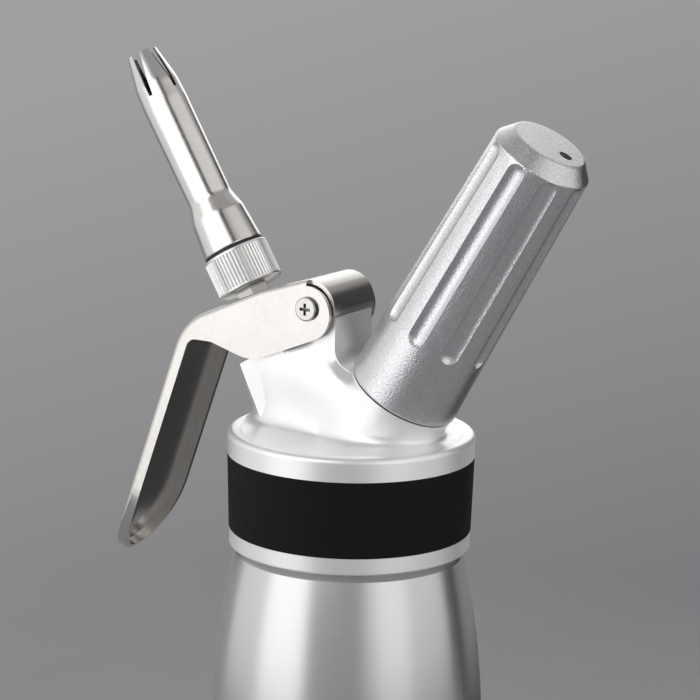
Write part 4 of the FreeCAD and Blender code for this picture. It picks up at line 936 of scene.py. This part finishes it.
def paint_background(sizes):
    """Grey that grows lighter upwards and to the left, seen by the eye and by gloss, and a soft light."""
    world = bpy.data.worlds.new("studio")
    bpy.context.scene.world = world
    world.use_nodes = True
    tree = world.node_tree
    tree.nodes.clear()
    direction = add_node(tree, "ShaderNodeTexCoord").outputs["Generated"]
    parts = add_node(tree, "ShaderNodeSeparateXYZ")
    tree.links.new(direction, parts.inputs[0])
    side = add_node(tree, "ShaderNodeVectorMath", operation="DOT_PRODUCT")
    side.inputs[1].default_value = (math.cos(sizes.azimuth), math.sin(sizes.azimuth), 0)
    tree.links.new(direction, side.inputs[0])
    lean = range_of(tree, side.outputs["Value"], sizes.lean, -sizes.lean, -LEAN_REACH, LEAN_REACH)
    rise = math_of(tree, "ADD", parts.outputs["Z"], lean)
    ramp = add_node(tree, "ShaderNodeValToRGB")
    for mark, colour in zip(ramp.color_ramp.elements, (sizes.low_colour, sizes.high_colour)):
        mark.color = (*colour, 1)
    tree.links.new(range_of(tree, rise, 0, 1, DARK_UNDER, LIGHT_OVER), ramp.inputs["Fac"])
    seen = add_node(tree, "ShaderNodeBackground")
    tree.links.new(ramp.outputs["Color"], seen.inputs["Color"])
    soft = add_node(tree, "ShaderNodeBackground")
    soft.inputs["Color"].default_value = (1, 1, 1, 1)
    soft.inputs["Strength"].default_value = sizes.soft_light
    rays = add_node(tree, "ShaderNodeLightPath").outputs
    eye = math_of(tree, "MAXIMUM", rays["Is Camera Ray"], rays["Is Glossy Ray"])
    mix = add_node(tree, "ShaderNodeMixShader")
    tree.links.new(math_of(tree, "MAXIMUM", eye, rays["Is Transmission Ray"]), mix.inputs["Fac"])
    tree.links.new(soft.outputs[0], mix.inputs[1])
    tree.links.new(seen.outputs[0], mix.inputs[2])
    out = add_node(tree, "ShaderNodeOutputWorld")
    tree.links.new(mix.outputs[0], out.inputs["Surface"])


def set_camera(sizes):
    turn, rise, roll = sizes.azimuth, sizes.elevation, sizes.roll
    back = Vector((math.sin(turn) * math.cos(rise), -math.cos(turn) * math.cos(rise), math.sin(rise)))
    level = Vector((math.cos(turn), math.sin(turn), 0))
    upward = back.cross(level)
    right = math.cos(roll) * level + math.sin(roll) * upward
    up = math.cos(roll) * upward - math.sin(roll) * level
    aim = level * sizes.aim_side + Vector((0, 0, sizes.aim_height))
    lens = bpy.data.cameras.new("camera")
    lens.lens = sizes.lens
    lens.sensor_width = SENSOR
    lens.clip_start, lens.clip_end = 0.01, 50
    camera = add_object("camera", lens)
    pose = Matrix((right, up, back)).transposed().to_4x4()
    pose.translation = aim + back * sizes.distance
    camera.matrix_world = pose
    bpy.context.scene.camera = camera


# ---------------------------------------------------------------- add-on


class DISPENSER_PT_panel(bpy.types.Panel):
    """Lists the dispenser's operators and their sizes"""

    bl_label = "Whipped cream dispenser"
    bl_idname = "DISPENSER_PT_panel"
    bl_space_type = "VIEW_3D"
    bl_region_type = "UI"
    bl_category = "Dispenser"

    def draw(self, context):
        for operator in OPERATORS:
            self.layout.operator(operator.bl_idname)
        for group in GROUPS:
            box = self.layout.box()
            values = getattr(context.scene, group)
            for name in values.__annotations__:
                box.prop(values, name)


GROUPS = {
    "dispenser_coves": CoveSizes,
    "dispenser_colours": FinishColours,
    "dispenser_stage": StageSizes,
}
OPERATORS = (
    DISPENSER_OT_casting,
    DISPENSER_OT_bottle,
    DISPENSER_OT_valve,
    DISPENSER_OT_nozzle,
    DISPENSER_OT_charger,
    DISPENSER_OT_lever,
    DISPENSER_OT_stage,
)


def register():
    for made in (*GROUPS.values(), *OPERATORS, DISPENSER_PT_panel):
        bpy.utils.register_class(made)
    for name, group in GROUPS.items():
        setattr(bpy.types.Scene, name, PointerProperty(type=group))


def unregister():
    for name in GROUPS:
        delattr(bpy.types.Scene, name)
    for made in (DISPENSER_PT_panel, *reversed(OPERATORS), *reversed(list(GROUPS.values()))):
        bpy.utils.unregister_class(made)


def main():
    register()
    for operator in OPERATORS:
        space, name = operator.bl_idname.split(".")
        getattr(getattr(bpy.ops, space), name)()


if __name__ == "__main__":
    main()
